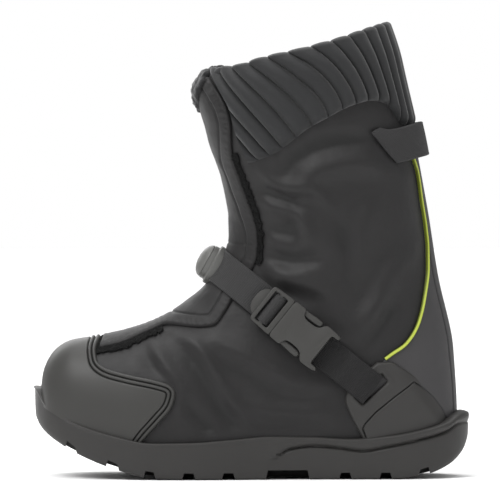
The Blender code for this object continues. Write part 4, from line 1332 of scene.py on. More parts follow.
@dataclass
class HeelCounter:
    """The rubber-coated back panel with its back-stay and faint upright folds."""

    cell: float = 2.0
    height: float = 1.8
    start: float = 0.2
    stay_half: float = 17.0
    stay_rise: float = 0.5
    stay_steps: tuple = (-1.0, -0.5, 0.0, 0.5, 1.2)
    seam_width: float = 0.55
    seam_depth: float = 0.7
    fold_height: float = 0.35

    def build(self, finishes: Finishes) -> Piece:
        """The panel from the pull tab down to the rim.

        Args:
            finishes: the shoe's finishes.

        Returns:
            The piece.
        """
        patch = Patch.over_last((11.0, Last.TOP - 1.0), (1.15, 2 * math.pi - 1.15), self.cell)
        patch.fields["rim"] = SOLE.above_rim(patch)
        patch.fields["edge"] = inside_outline(COUNTER, patch.x, patch.z)
        patch.fields["stay"] = np.abs(patch.y)
        patch.keep_above("edge")
        patch.keep_above("rim")
        patch.steps_at("edge", (0.4, 1.0))
        patch.fields["panel"] = inside_outline(PANEL, patch.x, patch.z)
        patch.steps_at("stay", tuple(self.stay_half + step for step in self.stay_steps))
        patch.steps_at("panel", PANEL_STEPS)
        x, y, z = patch.x, patch.y, patch.z
        seam = (patch.fields["stay"] - self.stay_half) / self.seam_width
        cut = np.exp(-seam**2) * ease(x, 100.0, 116.0)
        cut = np.maximum(cut, np.exp(-(patch.fields["panel"] / PANEL_GROOVE) ** 2) * ease(x, 117.0, 121.0))
        upright = self.fold_height * np.sin(y / 5.2 + z / 60.0) * ease(z, 70.0, 110.0) * (1 - ease(z, 190.0, 240.0))
        height = self.start + self.height * edge_profile(patch.fields["edge"], 1.2)
        height = height + self.stay_rise * (seam < 0) + upright
        # Shade painted darker into the back-stay's seams and the panel's groove.
        patch.fields["shade"] = 0.5 * cut
        piece = patch.build("coated_heel_panel", height - self.seam_depth * cut, self.start - 0.3)
        return piece.dress("counter", finishes.counter, sharp=75.0).mount("heel_counter")


@dataclass
class StrapWing:
    """A moulded saddle at the heel with the strap's slot and a grooved panel."""

    side: Side
    cell: float = 1.6
    height: float = 3.3
    start: float = 1.9
    slot_lip: float = 0.7
    cut_depth: float = 1.2

    def build(self, finishes: Finishes) -> Piece:
        """The saddle, which thins out into the heel panel behind.

        Args:
            finishes: the shoe's finishes.

        Returns:
            The piece.
        """
        turns = (1.0, 2.75) if self.side is Side.INNER else (2 * math.pi - 2.75, 2 * math.pi - 1.0)
        patch = Patch.over_last((9.5, 17.0), turns, self.cell)
        patch.fields["rim"] = SOLE.above_rim(patch)
        patch.fields["edge"] = inside_outline(WING, patch.x, patch.z)
        patch.fields["slot"] = -inside_outline(SLOT, patch.x, patch.z)
        patch.fields["panel"] = inside_outline(PANEL, patch.x, patch.z)
        for name in ("edge", "rim", "slot"):
            patch.keep_above(name)
        patch.steps_at("edge", (0.3, 0.8, 1.5, 2.4, 4.0))
        patch.steps_at("slot", (0.3, 0.8, 1.5, 2.4))
        patch.steps_at("panel", PANEL_STEPS)
        edge, slot, panel = (patch.fields[name] for name in ("edge", "slot", "panel"))
        back = ease(patch.x, 104.0, 128.0)
        front_edge = edge_profile(edge, 2.2)
        soft_edge = ease(edge, 0.0, 11.0)
        share = front_edge * (1 - back) + soft_edge * back
        height = self.start + self.height * share * (0.55 + 0.45 * edge_profile(slot, 2.0))
        height += self.slot_lip * np.exp(-((slot - 2.4) / 1.6) ** 2)
        cut = np.exp(-(panel / PANEL_GROOVE) ** 2)
        # Shade painted darker into the panel's groove.
        patch.fields["shade"] = 0.75 * cut
        piece = patch.build(f"strap_saddle_{self.side.name.lower()}", height - self.cut_depth * cut, self.start - 1.6)
        return piece.dress("rubber", finishes.rubber, sharp=75.0).mount(f"strap_wing_{self.side.name.lower()}")


@dataclass
class Flap:
    """The flap over the front opening: bound edges, lifted over a strip of pile."""

    cell: float = 1.9
    pile_cell: float = 1.15
    height: float = 2.7
    start: float = 0.3
    binding: float = 8.0
    wave_size: float = 20.0
    wave_height: float = 0.9
    pucker_size: float = 8.0
    pucker_height: float = 0.25
    tuft_size: float = 3.0
    rim_steps: tuple = (0.3, 0.8, 1.5, 3.0)
    seam_steps: tuple = (-1.2, -0.5, 0.0, 0.5, 1.2)

    def build(self, finishes: Finishes) -> list[Piece]:
        """The flap and the pile that shows beside its edge.

        Args:
            finishes: the shoe's finishes.

        Returns:
            Both pieces.
        """
        patch = Patch.over_last((4.5, Last.TOP), (-2.1, 2.1), self.cell)
        patch.fields["edge"] = inside_outline(FLAP, patch.x, patch.z)
        strip = Patch.over_last((4.5, Last.TOP), (-2.1, 2.1), self.pile_cell)
        strip.fields["edge"] = inside_outline(FLAP, strip.x, strip.z)
        patch.keep_above("edge")
        patch.steps_at("edge", self.rim_steps + tuple(self.binding + step for step in self.seam_steps))
        x, y, z, edge = patch.x, patch.y, patch.z, patch.fields["edge"]
        seam = np.exp(-((edge - self.binding) / 0.6) ** 2)
        line = rounded(Lines.FLAP_EDGE)
        along = to_line(line, x, z)[2]
        gather = (0.22 + 0.4 * ease(z, 262.0, 276.0)) * np.sin(along * 1.35 + 1.5 * np.sin(along * 0.31))
        gather *= 1 - ease(edge, 1.0, self.binding)
        gather *= ease(edge, 0.0, 3.0)
        waves = ripple(x, y, z, self.wave_size) * self.wave_height
        waves += ripple(x, y, z, self.pucker_size) * self.pucker_height
        cross = np.exp(-((z - 177.0) / 0.8) ** 2) * (1 - ease(x, 0.0, 8.0)) * (z > 170)
        height = self.start + self.height * (0.35 + 0.65 * edge_profile(edge, 1.5)) + gather
        height += waves * ease(edge, 1.0, 10.0) - 0.9 * seam - 0.6 * cross
        # Shade painted darker into the binding's seam and the line across the shin.
        patch.fields["shade"] = np.maximum(0.55 * seam, 0.4 * cross)
        flap = patch.build("front_closure_flap", height, self.start - 0.2)
        flap.dress("nylon", finishes.flap, sharp=75.0).mount("front_flap")

        strip.fields["inner"] = 3.0 - strip.fields["edge"]
        ragged = ripple(strip.x, strip.y, strip.z, self.tuft_size)
        strip.fields["outer"] = strip.fields["edge"] + 3.9 + 1.3 * ragged
        shin = ease(strip.z, 158.0, 166.0) * (1 - ease(strip.z, 236.0, 256.0))
        toe = (1 - ease(strip.x, -74.0, -60.0)) * (strip.z < 130.0)
        strip.fields["there"] = np.maximum(shin, toe) - 0.5
        strip.fields["cap"] = -inside_outline(CAP, strip.x, strip.z)
        for name in ("inner", "outer", "there", "cap"):
            strip.keep_above(name)
        fuzz = ripple(strip.x, strip.y, strip.z, 1.1) + 0.6 * ripple(strip.x, strip.y, strip.z, 2.7)
        pile = strip.build("loop_pile", 1.6 + 1.3 * fuzz, 0.0)
        pile.dress("nylon", finishes.pile, sharp=90.0).mount()
        return [flap, pile]


@dataclass
class Cuff:
    """The quilted padded cuff: slanted channels between seams, rolled over at the top edge."""

    pitch: float = math.radians(13.4)
    first: float = -3.0
    upright: float = math.radians(165.0)
    lean: float = 0.34
    bend: float = 0.9
    seam: float = 1.3
    crest: float = 6.9
    inside: float = -3.4
    sink: float = 4.6
    facing: tuple = (14.0, 9.0, 5.0)
    across: int = 14
    rows: int = 54
    roll_rows: int = 12

    def grid(self, side: Side) -> tuple[np.ndarray, np.ndarray]:
        """Rows of points around the leg, from inside the cuff, over its top edge and down to the seam.

        Args:
            side: the side to make.

        Returns:
            The grid, and the shade painted at each point by how deep in a seam it lies.
        """
        steps = np.arange(self.first * self.across, math.pi / self.pitch * self.across) / self.across
        top = np.append(steps * self.pitch, math.pi)
        foot = top + self.lean * np.maximum(self.upright - top, 0.0)
        top_place = LAST.place_on(Lines.COLLAR_TOP, side.value * top)
        foot_place = LAST.place_on(Lines.COLLAR_SEAM, side.value * foot)
        phase = np.abs(np.sin(top / self.pitch * math.pi))
        puff = phase ** 0.5
        rows, shades = [], []
        edge_height = self.seam + 0.55 * (self.crest - self.seam) * puff
        middle = (edge_height + self.inside) / 2
        radius = (edge_height - self.inside) / 2
        channel = LAST.at(top_place, side.value * top) - LAST.at(foot_place, side.value * foot)
        level_span = np.linalg.norm(channel, axis=1)
        sink = self.sink / level_span
        for down in self.facing:
            level = 1 - sink - down / level_span
            rows.append(self.row(side, top, foot, top_place, foot_place, level, 0 * top + self.inside))
            shades.append(0 * top)
        for turn in np.linspace(math.pi, 0, self.roll_rows):
            level = 1 - sink + np.sin(turn) * radius / level_span
            rows.append(self.row(side, top, foot, top_place, foot_place, level, middle + radius * np.cos(turn)))
            shades.append(0 * top)
        for share in np.linspace(0.02, 1.0, self.rows):
            level = (1 - sink) * (1 - share)
            swell = 0.55 + 0.45 * math.sin(math.pi * min(share / 0.35, 1.0) / 2)
            close = math.sqrt(max(1 - ((share - 0.9) / 0.1) ** 2, 0.0)) if share > 0.9 else 1.0
            height = self.seam * close + (self.crest - self.seam) * puff * swell * close
            rows.append(self.row(side, top, foot, top_place, foot_place, level, height))
            # Shade painted darker into the seams between the channels.
            shades.append(0.5 * np.exp(-(phase / 0.16) ** 2))
        return np.stack(rows), np.stack(shades)

    def row(self, side: Side, top: np.ndarray, foot: np.ndarray, top_place: np.ndarray, foot_place: np.ndarray,
            level: np.ndarray, height: np.ndarray) -> np.ndarray:
        """One row of the grid at a level between the seam and the top edge, and at a height over the leg.

        Args:
            side: the side of the shoe.
            top: angle of each channel place at the top edge.
            foot: its angle at the seam.
            top_place: its section place at the top edge.
            foot_place: its section place at the seam.
            level: 0 at the seam and 1 at the top edge.
            height: height over the leg.

        Returns:
            The row's points.
        """
        upright = np.maximum(level, 0.0) ** (1.0 + self.bend * ease(foot, 1.1, 2.0))
        angle = side.value * (foot + (top - foot) * upright)
        place = foot_place + (top_place - foot_place) * level
        return LAST.at(place, angle) + LAST.normals(place, angle) * np.asarray(height)[:, None]

    def build(self, finishes: Finishes) -> Piece:
        """Both sides of the cuff, trimmed under the flap and joined at the back.

        Args:
            finishes: the shoe's finishes.

        Returns:
            The piece.
        """
        halves = []
        for side in Side:
            points, shade = self.grid(side)
            if side is Side.INNER:
                points, shade = points[:, ::-1], shade[:, ::-1]
            halves.append((points, shade))
        pieces = []
        for points, shade in halves:
            patch = Patch(points, np.zeros_like(points))
            patch.fields["shade"] = shade.ravel()
            front = rounded(Lines.COLLAR_FRONT)
            distance, sign, _ = to_line(front, patch.x, patch.z)
            patch.fields["front"] = distance * sign
            patch.keep_above("front", -3.0)
            pieces.append(patch)
        base = np.concatenate([pieces[0].base, pieces[1].base])
        faces = np.concatenate([pieces[0].faces, pieces[1].faces + len(pieces[0].base)])
        shade = np.concatenate([pieces[0].fields["shade"], pieces[1].fields["shade"]])
        cuff = Piece("quilted_cuff", base, faces, shade).weld(0.05)
        cuff.dress("quilted", finishes.quilted, sharp=80.0).mount("collar")
        return cuff


class Surface:
    """The last as a mesh that rays can hit."""

    REACH = 270.0

    def __init__(self, places: np.ndarray, around: int) -> None:
        """Make the mesh.

        Args:
            places: section places of its rows.
            around: number of points in each row.
        """
        angles = np.arange(around) * 2 * math.pi / around
        points = LAST.at(places[:, None], angles[None, :]).reshape(-1, 3)
        faces = [tuple(range(around))]
        for row in range(len(places) - 1):
            for column in range(around):
                here, beside = row * around + column, row * around + (column + 1) % around
                faces += [(here, beside, beside + around), (here, beside + around, here + around)]
        self.tree = BVHTree.FromPolygons([Vector(point) for point in points], faces)

    def beside(self, x: float, z: float, side: int) -> tuple[Vector, Vector]:
        """Point and outward normal where a side view point meets the last, on one side.

        Args:
            x: X of the point.
            z: Z of the point.
            side: sign of the side.

        Returns:
            The point and the normal.
        """
        hit, normal, _, _ = self.tree.ray_cast(Vector((x, side * self.REACH, z)), Vector((0.0, -side, 0.0)))
        if hit is None:
            hit, normal, _, _ = self.tree.find_nearest(Vector((x, 0.0, z)))
        return hit, normal if normal.y * side > 0 else -normal


FINE = Surface(LAST.spread(0.0, Last.TOP, -1.9, 3.0), 180)
COARSE = Surface(np.linspace(0.0, Last.TOP, 26), 26)


def loft(name: str, rows: list) -> Piece:
    """A tube through rings of points, closed at its ends.

    Args:
        name: piece's name.
        rows: rings with the same number of points each.

    Returns:
        The piece, with its faces outwards.
    """
    points = np.concatenate([np.asarray(row, dtype=float) for row in rows])
    return Piece(name, points, tube_faces(len(rows), len(rows[0]))).face_outwards()


@dataclass(frozen=True)
class Band:
    """The cut of a woven band: places across as shares of its width, and heights as shares of its thickness."""

    width: float = 25.4
    thickness: float = 1.8
    section: tuple = ((-0.47, 0.0), (0.0, 0.0), (0.47, 0.0), (0.5, 0.35), (0.49, 0.8), (0.46, 1.0), (0.42, 0.94),
                      (0.3, 1.0), (0.15, 1.03), (0.0, 1.04), (-0.15, 1.03), (-0.3, 1.0), (-0.42, 0.94), (-0.46, 1.0),
                      (-0.49, 0.8), (-0.5, 0.35))

    def along(self, name: str, lines: list, normals: list, lifts: list) -> Piece:
        """The band laid along three lines.

        Args:
            name: piece's name.
            lines: rows of three points: at its lower edge, middle and upper edge.
            normals: outward direction of each row.
            lifts: height of each row over the lines.

        Returns:
            The piece, with places on the band in its UV map.
        """
        rows, across, places = [], [], []
        gone = 0.0
        for number, (three, normal, lift) in enumerate(zip(lines, normals, lifts)):
            low, middle, high = three
            bend = (low + high) / 2 - middle
            if number:
                gone += (middle - lines[number - 1][1]).length
            rows.append([middle + (high - low) * s + bend * (4 * s * s) + normal * (lift + h * self.thickness)
                         for s, h in self.section])
            across += [s * self.width for s, _ in self.section]
            places += [gone] * len(self.section)
        return loft(name, rows).uv(np.array(across), np.array(places))


@dataclass
class Strap:
    """The webbing around the instep, in a plane that tilts down towards the heel."""

    start: Vector = field(default_factory=lambda: Vector((Lines.STRAP_START[0], 0.0, Lines.STRAP_START[1])))
    fall: float = Lines.STRAP_FALL
    inside: float = 70.0
    sweep: float = math.radians(150)
    cell: float = 1.8
    plug_from: float = 41.5
    socket_to: float = 105.5
    slot_at: float = 149.0
    stations: tuple = (0.0, 30.0, 50.0, 105.0, 116.0, 126.0, 146.0, 150.0)
    offsets: tuple = (4.1, 4.1, 3.0, 3.0, 3.6, 6.6, 6.6, 5.0)
    band: Band = Band()

    @property
    def along(self) -> Vector:
        """Direction down the strap in the side view."""
        return Vector((math.cos(self.fall), 0.0, -math.sin(self.fall)))

    @property
    def across(self) -> Vector:
        """Direction across the strap in the side view."""
        return Vector((math.sin(self.fall), 0.0, math.cos(self.fall)))

    def route(self, shift: float) -> list[Vector]:
        """Points around the last in the strap's plane, moved across by a shift.

        Args:
            shift: how far across.

        Returns:
            The points.
        """
        middle = self.start + self.along * self.inside + self.across * shift
        route = []
        for turn in np.linspace(-self.sweep, self.sweep, 361):
            away = -self.along * math.cos(turn) + Vector((0.0, -math.sin(turn), 0.0))
            route.append(FINE.tree.ray_cast(middle + away * Surface.REACH, -away)[0])
        return route

    def offset(self, fall: float, beside: bool) -> float:
        """How far the webbing lies off the last."""
        return float(smooth(self.stations, self.offsets, max(fall, 0.0))[0, 0]) if beside else self.offsets[0]

    def run(self, name: str, first: float, final: float) -> Piece:
        """Webbing between two falls: below zero on the inner side, above on the outer.

        Args:
            name: piece's name.
            first: fall at its start.
            final: fall at its end.

        Returns:
            The piece.
        """
        edges = [self.route(shift) for shift in (-self.band.width / 2, 0.0, self.band.width / 2)]
        middle = edges[1]
        sides = [index for index, point in enumerate(middle) if abs(point.y) > 20]
        falls = [(middle[i] - self.start).dot(self.along) * (-1 if middle[i].y > 0 else 1) for i in sides]
        ends = np.interp([first, final], falls, sides)
        lines, normals, lifts = [], [], []
        span = sum((b - a).length for a, b in zip(middle, middle[1:])) * (ends[1] - ends[0]) / len(middle)
        for place in np.linspace(ends[0], ends[1], int(span / self.cell)):
            low = min(int(place), len(middle) - 2)
            here = [line[low].lerp(line[low + 1], place - low) for line in edges]
            way = (middle[min(low + 5, len(middle) - 1)] - middle[max(low - 5, 0)]).normalized()
            normal = (here[2] - here[0]).normalized().cross(way).normalized()
            if normal.dot(here[1] - Vector((30.0, 0.0, 110.0))) < 0:
                normal = -normal
            fall = abs((here[1] - self.start).dot(self.along))
            lines.append(here)
            normals.append(normal)
            lifts.append(self.offset(fall, abs(here[1].y) > 12))
        return self.band.along(name, lines, normals, lifts)

    def build(self, finishes: Finishes) -> None:
        """Both runs of webbing.

        Args:
            finishes: the shoe's finishes.
        """
        front = self.run("instep_webbing", -self.slot_at, self.plug_from + 11)
        front.dress("webbing", finishes.webbing, sharp=50.0).mount("strap_front")
        tail = self.run("heel_webbing", self.socket_to - 7, self.slot_at)
        # The heel run takes the webbing with shade painted in.
        tail.dress("webbing", finishes.webbing_painted_shade, sharp=50.0).mount("strap_tail")


STRAP = Strap()


def plate(name: str, outline: list, low: float, high: float) -> Piece:
    """A flat outline with a thickness, in its own frame.

    Args:
        name: piece's name.
        outline: points as X and Y.
        low: its lowest Z.
        high: its highest Z.

    Returns:
        The piece.
    """
    points = [(x, y, z) for z in (low, high) for x, y in outline]
    return Piece(name, points, prism_faces(len(outline))).face_outwards()


def mirrored(half: tuple, steps: int = 3) -> list:
    """A closed outline from its upper half, with its corners softened."""
    points = [tuple(p) for p in rounded(half, steps)]
    return points + [(x, -y) for x, y in reversed(points)]


def slot_outline(first: float, final: float, half: float, corner: float = 1.0) -> list:
    """A rectangle about the long axis, with round corners.

    Args:
        first: its lowest X.
        final: its highest X.
        half: half its width.
        corner: radius of its corners.

    Returns:
        The outline's points.
    """
    outline = []
    for x, y, turn in ((final - corner, half - corner, 0.0), (first + corner, half - corner, 90.0),
                       (first + corner, -half + corner, 180.0), (final - corner, -half + corner, 270.0)):
        for step in range(5):
            angle = math.radians(turn + 22.5 * step)
            outline.append((x + corner * math.cos(angle), y + corner * math.sin(angle)))
    return outline


@dataclass
class Buckle:
    """The side-release buckle, fastened: a plug with its ladder, thumb tab and prongs, and the socket."""

    thickness: float = 7.5
    centre: float = 73.0
    lift: float = 5.4
    slide: float = 1.8
    ladder_half: tuple = ((-32.0, 12.5), (-31.4, 14.6), (-29.5, 15.5), (-22.0, 15.9), (-14.5, 16.4), (-12.6, 15.6),
                          (-12.0, 13.6))
    tab: tuple = ((-31.0, 11.5), (-33.5, 10.8), (-36.0, 9.0), (-38.0, 5.8), (-38.8, 2.0), (-38.8, 0.0))
    prong: tuple = ((-5.0, 15.6), (-1.0, 15.9), (4.0, 16.2), (9.0, 16.6), (12.6, 16.6), (14.6, 15.4), (15.0, 13.6),
                    (13.6, 12.2), (9.0, 11.7), (3.0, 11.6), (-1.0, 11.6), (-5.0, 11.4))
    slots: tuple = ((-28.8, -24.2), (-21.4, -16.8))
    socket_half: tuple = ((-12.1, 13.4), (-11.5, 15.7), (-9.5, 16.5), (-3.4, 16.6), (-1.7, 15.7), (-0.7, 13.0),
                          (1.2, 11.0), (5.0, 10.3), (10.6, 10.5), (14.6, 12.0), (17.0, 15.2), (19.4, 16.9),
                          (24.0, 16.8), (30.0, 16.2), (31.7, 15.2), (31.8, 13.9), (30.0, 13.3), (27.0, 13.2),
                          (25.8, 12.2), (25.5, 9.0))

    def frame(self) -> Matrix:
        """Frame over the strap's outer side, with X down the strap and Z away from the shoe.

        Returns:
            The frame.
        """
        falls = (STRAP.plug_from + 6, STRAP.socket_to - 6)
        ends = [COARSE.beside(*(STRAP.start + STRAP.along * fall).xz, -1)[0] for fall in falls]
        long_axis = (ends[1] - ends[0]).normalized()
        out = long_axis.cross(STRAP.across).normalized()
        if out.y > 0:
            out = -out
        middle = COARSE.beside(*(STRAP.start + STRAP.along * self.centre).xz, -1)[0]
        sag = (middle - (ends[0] + ends[1]) / 2).dot(out)
        base = (ends[0] + ends[1]) / 2 + out * (max(sag, 0.0) + self.lift) + long_axis * self.slide
        return Matrix.Translation(base) @ Matrix((long_axis, out.cross(long_axis), out)).transposed().to_4x4()

    def build(self, finishes: Finishes) -> None:
        """Plug, webbing over its middle bar, and socket.

        Args:
            finishes: the shoe's finishes.
        """
        frame = self.frame()
        half = STRAP.band.width / 2 + 0.5
        plug = plate("buckle_ladder", mirrored(self.ladder_half), 0.5, self.thickness - 1.0)
        for first, final in self.slots:
            plug.cut(plate("slot", slot_outline(first, final, half), -8.0, 20.0))
        plug.bevel(0.8, 3).place(frame)
        plug.dress("plastic", finishes.plastic, sharp=50.0).mount("buckle_plug")
        tab = plate("buckle_thumb_tab", mirrored(self.tab, 4), 0.9, 4.3).bevel(0.9, 3).place(frame)
        tab.dress("plastic", finishes.plastic, sharp=50.0).mount()
        for side in Side:
            outline = [(x, y * side.value) for x, y in rounded(self.prong, 3)]
            prong = plate(f"buckle_prong_{side.name.lower()}", outline, 1.6, self.thickness - 1.4).bevel(1.2, 3)
            prong.place(frame).dress("plastic", finishes.plastic, sharp=50.0).mount()
        socket = plate("buckle_socket_body", mirrored(self.socket_half), 0.4, self.thickness + 0.4)
        socket.bevel(1.1, 3).place(frame).dress("plastic", finishes.plastic, sharp=50.0).mount("buckle_socket")
        self.turn(frame, finishes)

    def turn(self, frame: Matrix, finishes: Finishes) -> None:
        """The webbing's turn over the ladder's middle bar.

        Args:
            frame: the buckle's frame.
            finishes: the shoe's finishes.
        """
        profile = rounded(((-27.6, -0.6), (-26.6, 3.6), (-25.0, 6.4), (-22.8, 7.2), (-20.6, 6.4), (-19.0, 3.6),
                           (-18.0, -0.6)), 4)
        width = STRAP.band.width
        rotation = frame.to_3x3()
        lines, normals = [], []
        for number, (x, z) in enumerate(profile):
            after = profile[min(number + 1, len(profile) - 1)]
            before = profile[max(number - 1, 0)]
            way = Vector((after[0] - before[0], 0.0, after[1] - before[1])).normalized()
            normal = Vector((-way.z, 0.0, way.x))
            lines.append([frame @ Vector((x, y * width, z)) for y in (-0.49, 0.0, 0.49)])
            normals.append(rotation @ normal)
        turn = STRAP.band.along("webbing_turn", lines, normals, [-1.2] * len(lines))
        turn.dress("webbing", finishes.webbing, sharp=60.0).mount()


@dataclass
class Guide:
    """The moulded keeper that holds the strap on the front of the instep: a domed oval on a flanged base."""

    length: float = 31.0
    width: float = 36.0
    squareness: float = 0.75
    sink: float = 2.0
    lower: float = 1.5
    sides: int = 72
    levels: tuple = ((-5.0, 0.9), (0.0, 1.0), (2.2, 1.0), (2.8, 0.97), (3.1, 0.90), (3.4, 0.865), (5.6, 0.86),
                     (6.6, 0.85), (6.9, 0.82), (7.3, 0.82), (7.6, 0.84), (9.4, 0.79), (11.2, 0.68), (12.6, 0.52),
                     (13.5, 0.34), (14.0, 0.15))

    def build(self, finishes: Finishes) -> None:
        """The keeper on top of the webbing.

        Args:
            finishes: the shoe's finishes.
        """
        ends = [COARSE.tree.ray_cast(STRAP.start - STRAP.along * Surface.REACH + STRAP.across * shift, STRAP.along)[0]
                for shift in (-self.length / 2, self.length / 2)]
        up = (ends[1] - ends[0]).normalized()
        out = Vector((-up.z, 0.0, up.x))
        seat = (ends[0] + ends[1]) / 2 + out * (STRAP.offsets[0] + STRAP.band.thickness - self.sink) - up * self.lower
        frame = Matrix.Translation(seat) @ Matrix((up, Vector((0.0, 1.0, 0.0)), out)).transposed().to_4x4()
        rows = []
        for level, size in self.levels:
            row = []
            for step in range(self.sides):
                turn = 2 * math.pi * step / self.sides
                x = math.copysign(abs(math.cos(turn)) ** self.squareness, math.cos(turn)) * self.length / 2 * size
                y = math.copysign(abs(math.sin(turn)) ** self.squareness, math.sin(turn)) * self.width / 2 * size
                row.append(frame @ Vector((x, y, level)))
            rows.append(row)
        keeper = loft("strap_keeper", rows)
        keeper.dress("guide_plastic", finishes.guide, sharp=35.0).mount("strap_guide")


@dataclass
class Piping:
    """The bright cord along the front edge of the heel panel, with shade painted dark olive on both its sides."""

    side: Side
    radius: float = 1.45
    flange: float = 2.3
    sides: int = 12

    def build(self, finishes: Finishes) -> None:
        """The cord, with shade painted dark olive on its sides.

        Args:
            finishes: the shoe's finishes.
        """
        route = [FINE.beside(x, z, self.side.value) for x, z in rounded(Lines.PIPING, 5)]
        rows, shade = [], []
        for number, (point, normal) in enumerate(route):
            after, before = route[min(number + 1, len(route) - 1)][0], route[max(number - 1, 0)][0]
            level = (after - before).normalized().cross(normal).normalized()
            middle = point + normal * (self.radius + 0.6)
            row = []
            for step in range(self.sides):
                turn = 2 * math.pi * step / self.sides
                row.append(middle + level * (math.cos(turn) * self.radius) + normal * (math.sin(turn) * self.radius))
                # Shade painted dark olive on the cord's sides, where it meets the panel.
                shade.append(float(ease(np.array(abs(math.cos(turn))), 0.35, 0.9)))
            rows.append(row)
        count = self.sides
        cord = loft(f"piping_cord_{self.side.name.lower()}", rows)
        layer = cord.object.data.attributes.new("shade", "FLOAT", "POINT")
        layer.data.foreach_set("value", np.array(shade[:len(rows) * count], dtype=np.float32))
        cord.dress("piping", finishes.piping, sharp=60.0).mount(f"piping_{self.side.name.lower()}")


@dataclass
class PullTab:
    """The loop of webbing at the back: sewn down at both ends, and standing off between them."""

    width: float = 26.0
    thickness: float = 2.0
    reach: tuple = ((0.0, math.radians(40)), (0.66, math.radians(56)), (1.0, math.radians(48)))
    rise: float = 8.6
    seat: float = 0.7
    rows: int = 81
    band: Band = Band(26.0, 2.0)

    def build(self, finishes: Finishes) -> None:
        """The loop, with its places across and along for the weave.

        Args:
            finishes: the shoe's finishes.
        """
        rows, across, places = [], [], []
        for turn in np.linspace(-1.0, 1.0, self.rows):
            rise = self.seat + self.rise * max(math.cos(turn * math.pi / 2), 0.0) ** 0.7
            shares = np.array([s for s, _ in self.band.section]) + 0.5
            angles = math.pi + turn * np.interp(shares, *np.array(self.reach).T)
            middle = LAST.place_on(Lines.TAB, angles)
            here = LAST.at(middle, angles)
            slope = LAST.at(middle + 0.1, angles) - here
            slope /= np.linalg.norm(slope, axis=1, keepdims=True)
            heights = np.array([h for _, h in self.band.section]) * self.thickness + rise
            rows.append(here + slope * ((shares - 0.5) * self.width)[:, None]
                        + LAST.normals(middle, angles) * heights[:, None])
            across += list((shares - 0.5) * self.width)
            places += [turn * 50.0] * len(shares)
        tab = loft("pull_loop", rows).uv(np.array(across), np.array(places))
        tab.dress("webbing", finishes.tab_webbing, sharp=50.0).mount("pull_tab")


@dataclass
class Gusset:
    """The fleecy gusset that bulges out in front of the flap, below the cuff's front corner."""

    route: tuple = ((-36.5, 276.0), (-40.0, 284.0), (-40.6, 292.0), (-37.6, 299.5), (-32.6, 304.6), (-26.0, 307.5),
                    (-19.0, 308.5))
    radii: tuple = (1.5, 4.0, 5.4, 5.6, 5.2, 4.4, 2.6)
    spread: float = 3.0
    middle_y: float = 4.0
    lumps: float = 2.4
    sides: int = 40

    def build(self, finishes: Finishes) -> None:
        """A lumpy roll across the front of the leg.

        Args:
            finishes: the shoe's finishes.
        """
        line = rounded(self.route, 7)
        radii = smooth(range(len(self.radii)), self.radii, np.linspace(0, len(self.radii) - 1, len(line)))[:, 0]
        way = np.gradient(line, axis=0)
        way /= np.linalg.norm(way, axis=1, keepdims=True)
        rows = []
        for (x, z), (way_x, way_z), radius in zip(line, way, radii):
            row = []
            for step in range(self.sides):
                turn = 2 * math.pi * step / self.sides
                out = Vector((-way_z * math.cos(turn), self.spread * math.sin(turn), way_x * math.cos(turn)))
                point = Vector((x, self.middle_y, z)) + out * radius
                swell = noise.noise(point / 5.0) * self.lumps + noise.noise(point / 1.7) * 0.9
                row.append(point + out.normalized() * swell)
            rows.append(row)
        loft("fleece_gusset", rows).dress("nylon", finishes.fleece, sharp=90.0).mount()


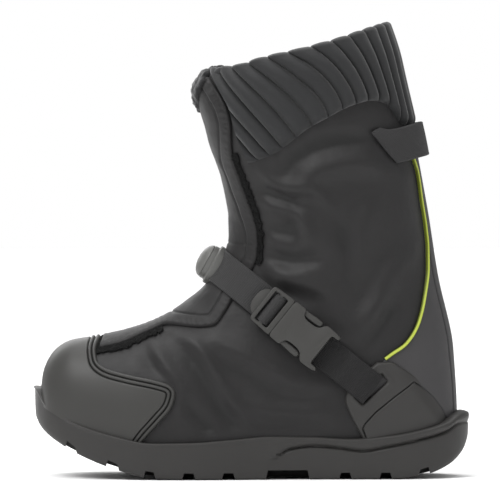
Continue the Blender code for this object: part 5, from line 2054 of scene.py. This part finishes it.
@dataclass
class Studio:
    """Pale floor, soft light and the camera at the photograph's angle."""

    distance: float = 6000.0
    view_width: float = 380.0
    ambient: float = 0.42
    centre_x: float = -1.3
    centre_z: float = 171.8
    eye_z: float = 345.0
    azimuth: float = 0.0
    floor_half: float = 6000.0
    floor_z: float = -0.2

    def build(self) -> None:
        """Make floor, lights and camera."""
        corners = ((-1, -1), (1, -1), (1, 1), (-1, 1))
        points = [(x * self.floor_half, y * self.floor_half, self.floor_z) for x, y in corners]
        floor = Piece("floor", points, [(0, 1, 2, 3)])
        paint = bpy.data.materials.new("pale_floor")
        paint.use_nodes = True
        shader = paint.node_tree.nodes["Principled BSDF"]
        shader.inputs["Base Color"].default_value = linear("#fdfdfd")
        shader.inputs["Roughness"].default_value = 0.7
        shader.inputs["Specular IOR Level"].default_value = 0.2
        floor.object.data.materials.append(paint)
        world = bpy.data.worlds.new("studio")
        world.use_nodes = True
        tree = world.node_tree
        sight = add_node(tree, "LightPath", {})
        power = add_node(tree, "MapRange", {"To Min": self.ambient, "To Max": 1.0},
                         {"Value": sight.outputs["Is Camera Ray"]})
        tree.nodes["Background"].inputs["Color"].default_value = (1.0, 1.0, 1.0, 1.0)
        tree.links.new(power.outputs[0], tree.nodes["Background"].inputs["Strength"])
        bpy.context.scene.world = world
        bpy.context.scene.view_settings.view_transform = "Standard"
        target = Vector((0.0, 0.0, 0.14))
        for name, place, width, power in (("key", (-0.9, -1.0, 1.6), 0.9, 9.0), ("fill", (1.4, -1.3, 0.9), 1.4, 4.0),
                                          ("top", (0.1, 0.3, 1.9), 1.2, 12.0), ("back", (-0.6, 1.5, 1.0), 1.2, 10.0)):
            light = bpy.data.lights.new(name, "AREA")
            light.energy = power
            light.size = width
            lamp = bpy.data.objects.new(name, light)
            lamp.location = place
            lamp.rotation_euler = (target - Vector(place)).to_track_quat("-Z", "Y").to_euler()
            bpy.context.scene.collection.objects.link(lamp)
        for name, turn, power, spread in (("window", (42.0, 0.0, -38.0), 1.5, 35.0),
                                          ("ceiling", (0.0, 0.0, 0.0), 1.3, 70.0)):
            light = bpy.data.lights.new(name, "SUN")
            light.energy = power
            light.angle = math.radians(spread)
            lamp = bpy.data.objects.new(name, light)
            lamp.rotation_euler = [math.radians(part) for part in turn]
            bpy.context.scene.collection.objects.link(lamp)
        camera = bpy.data.cameras.new("camera")
        camera.lens = camera.sensor_width * self.distance / self.view_width
        camera.clip_end = 100.0
        eye = bpy.data.objects.new("camera", camera)
        turn = math.radians(self.azimuth)
        centre = Vector((self.centre_x, 0.0, self.centre_z))
        eye.location = (centre + Vector((math.sin(turn) * self.distance, -math.cos(turn) * self.distance,
                                         self.eye_z - self.centre_z))) * MM
        eye.rotation_euler = (centre * MM - eye.location).to_track_quat("-Z", "Y").to_euler()
        bpy.context.scene.collection.objects.link(eye)
        bpy.context.scene.camera = eye


def main() -> None:
    """Build the pieces in order, and give the insole its felt."""
    logging.basicConfig(level=logging.INFO, format="%(message)s")
    finishes = Finishes()
    Studio().build()
    SOLE.build(finishes)
    Upper().build(finishes)
    ToeCap().build(finishes)
    HeelCounter().build(finishes)
    for side in Side:
        StrapWing(side).build(finishes)
    Flap().build(finishes)
    Cuff().build(finishes)
    STRAP.build(finishes)
    Buckle().build(finishes)
    Guide().build(finishes)
    for side in Side:
        Piping(side).build(finishes)
    PullTab().build(finishes)
    Gusset().build(finishes)
    for slot in frame["nodes"]["insole"].material_slots:
        slot.material = finishes.felt


if __name__ == "__main__":
    main()
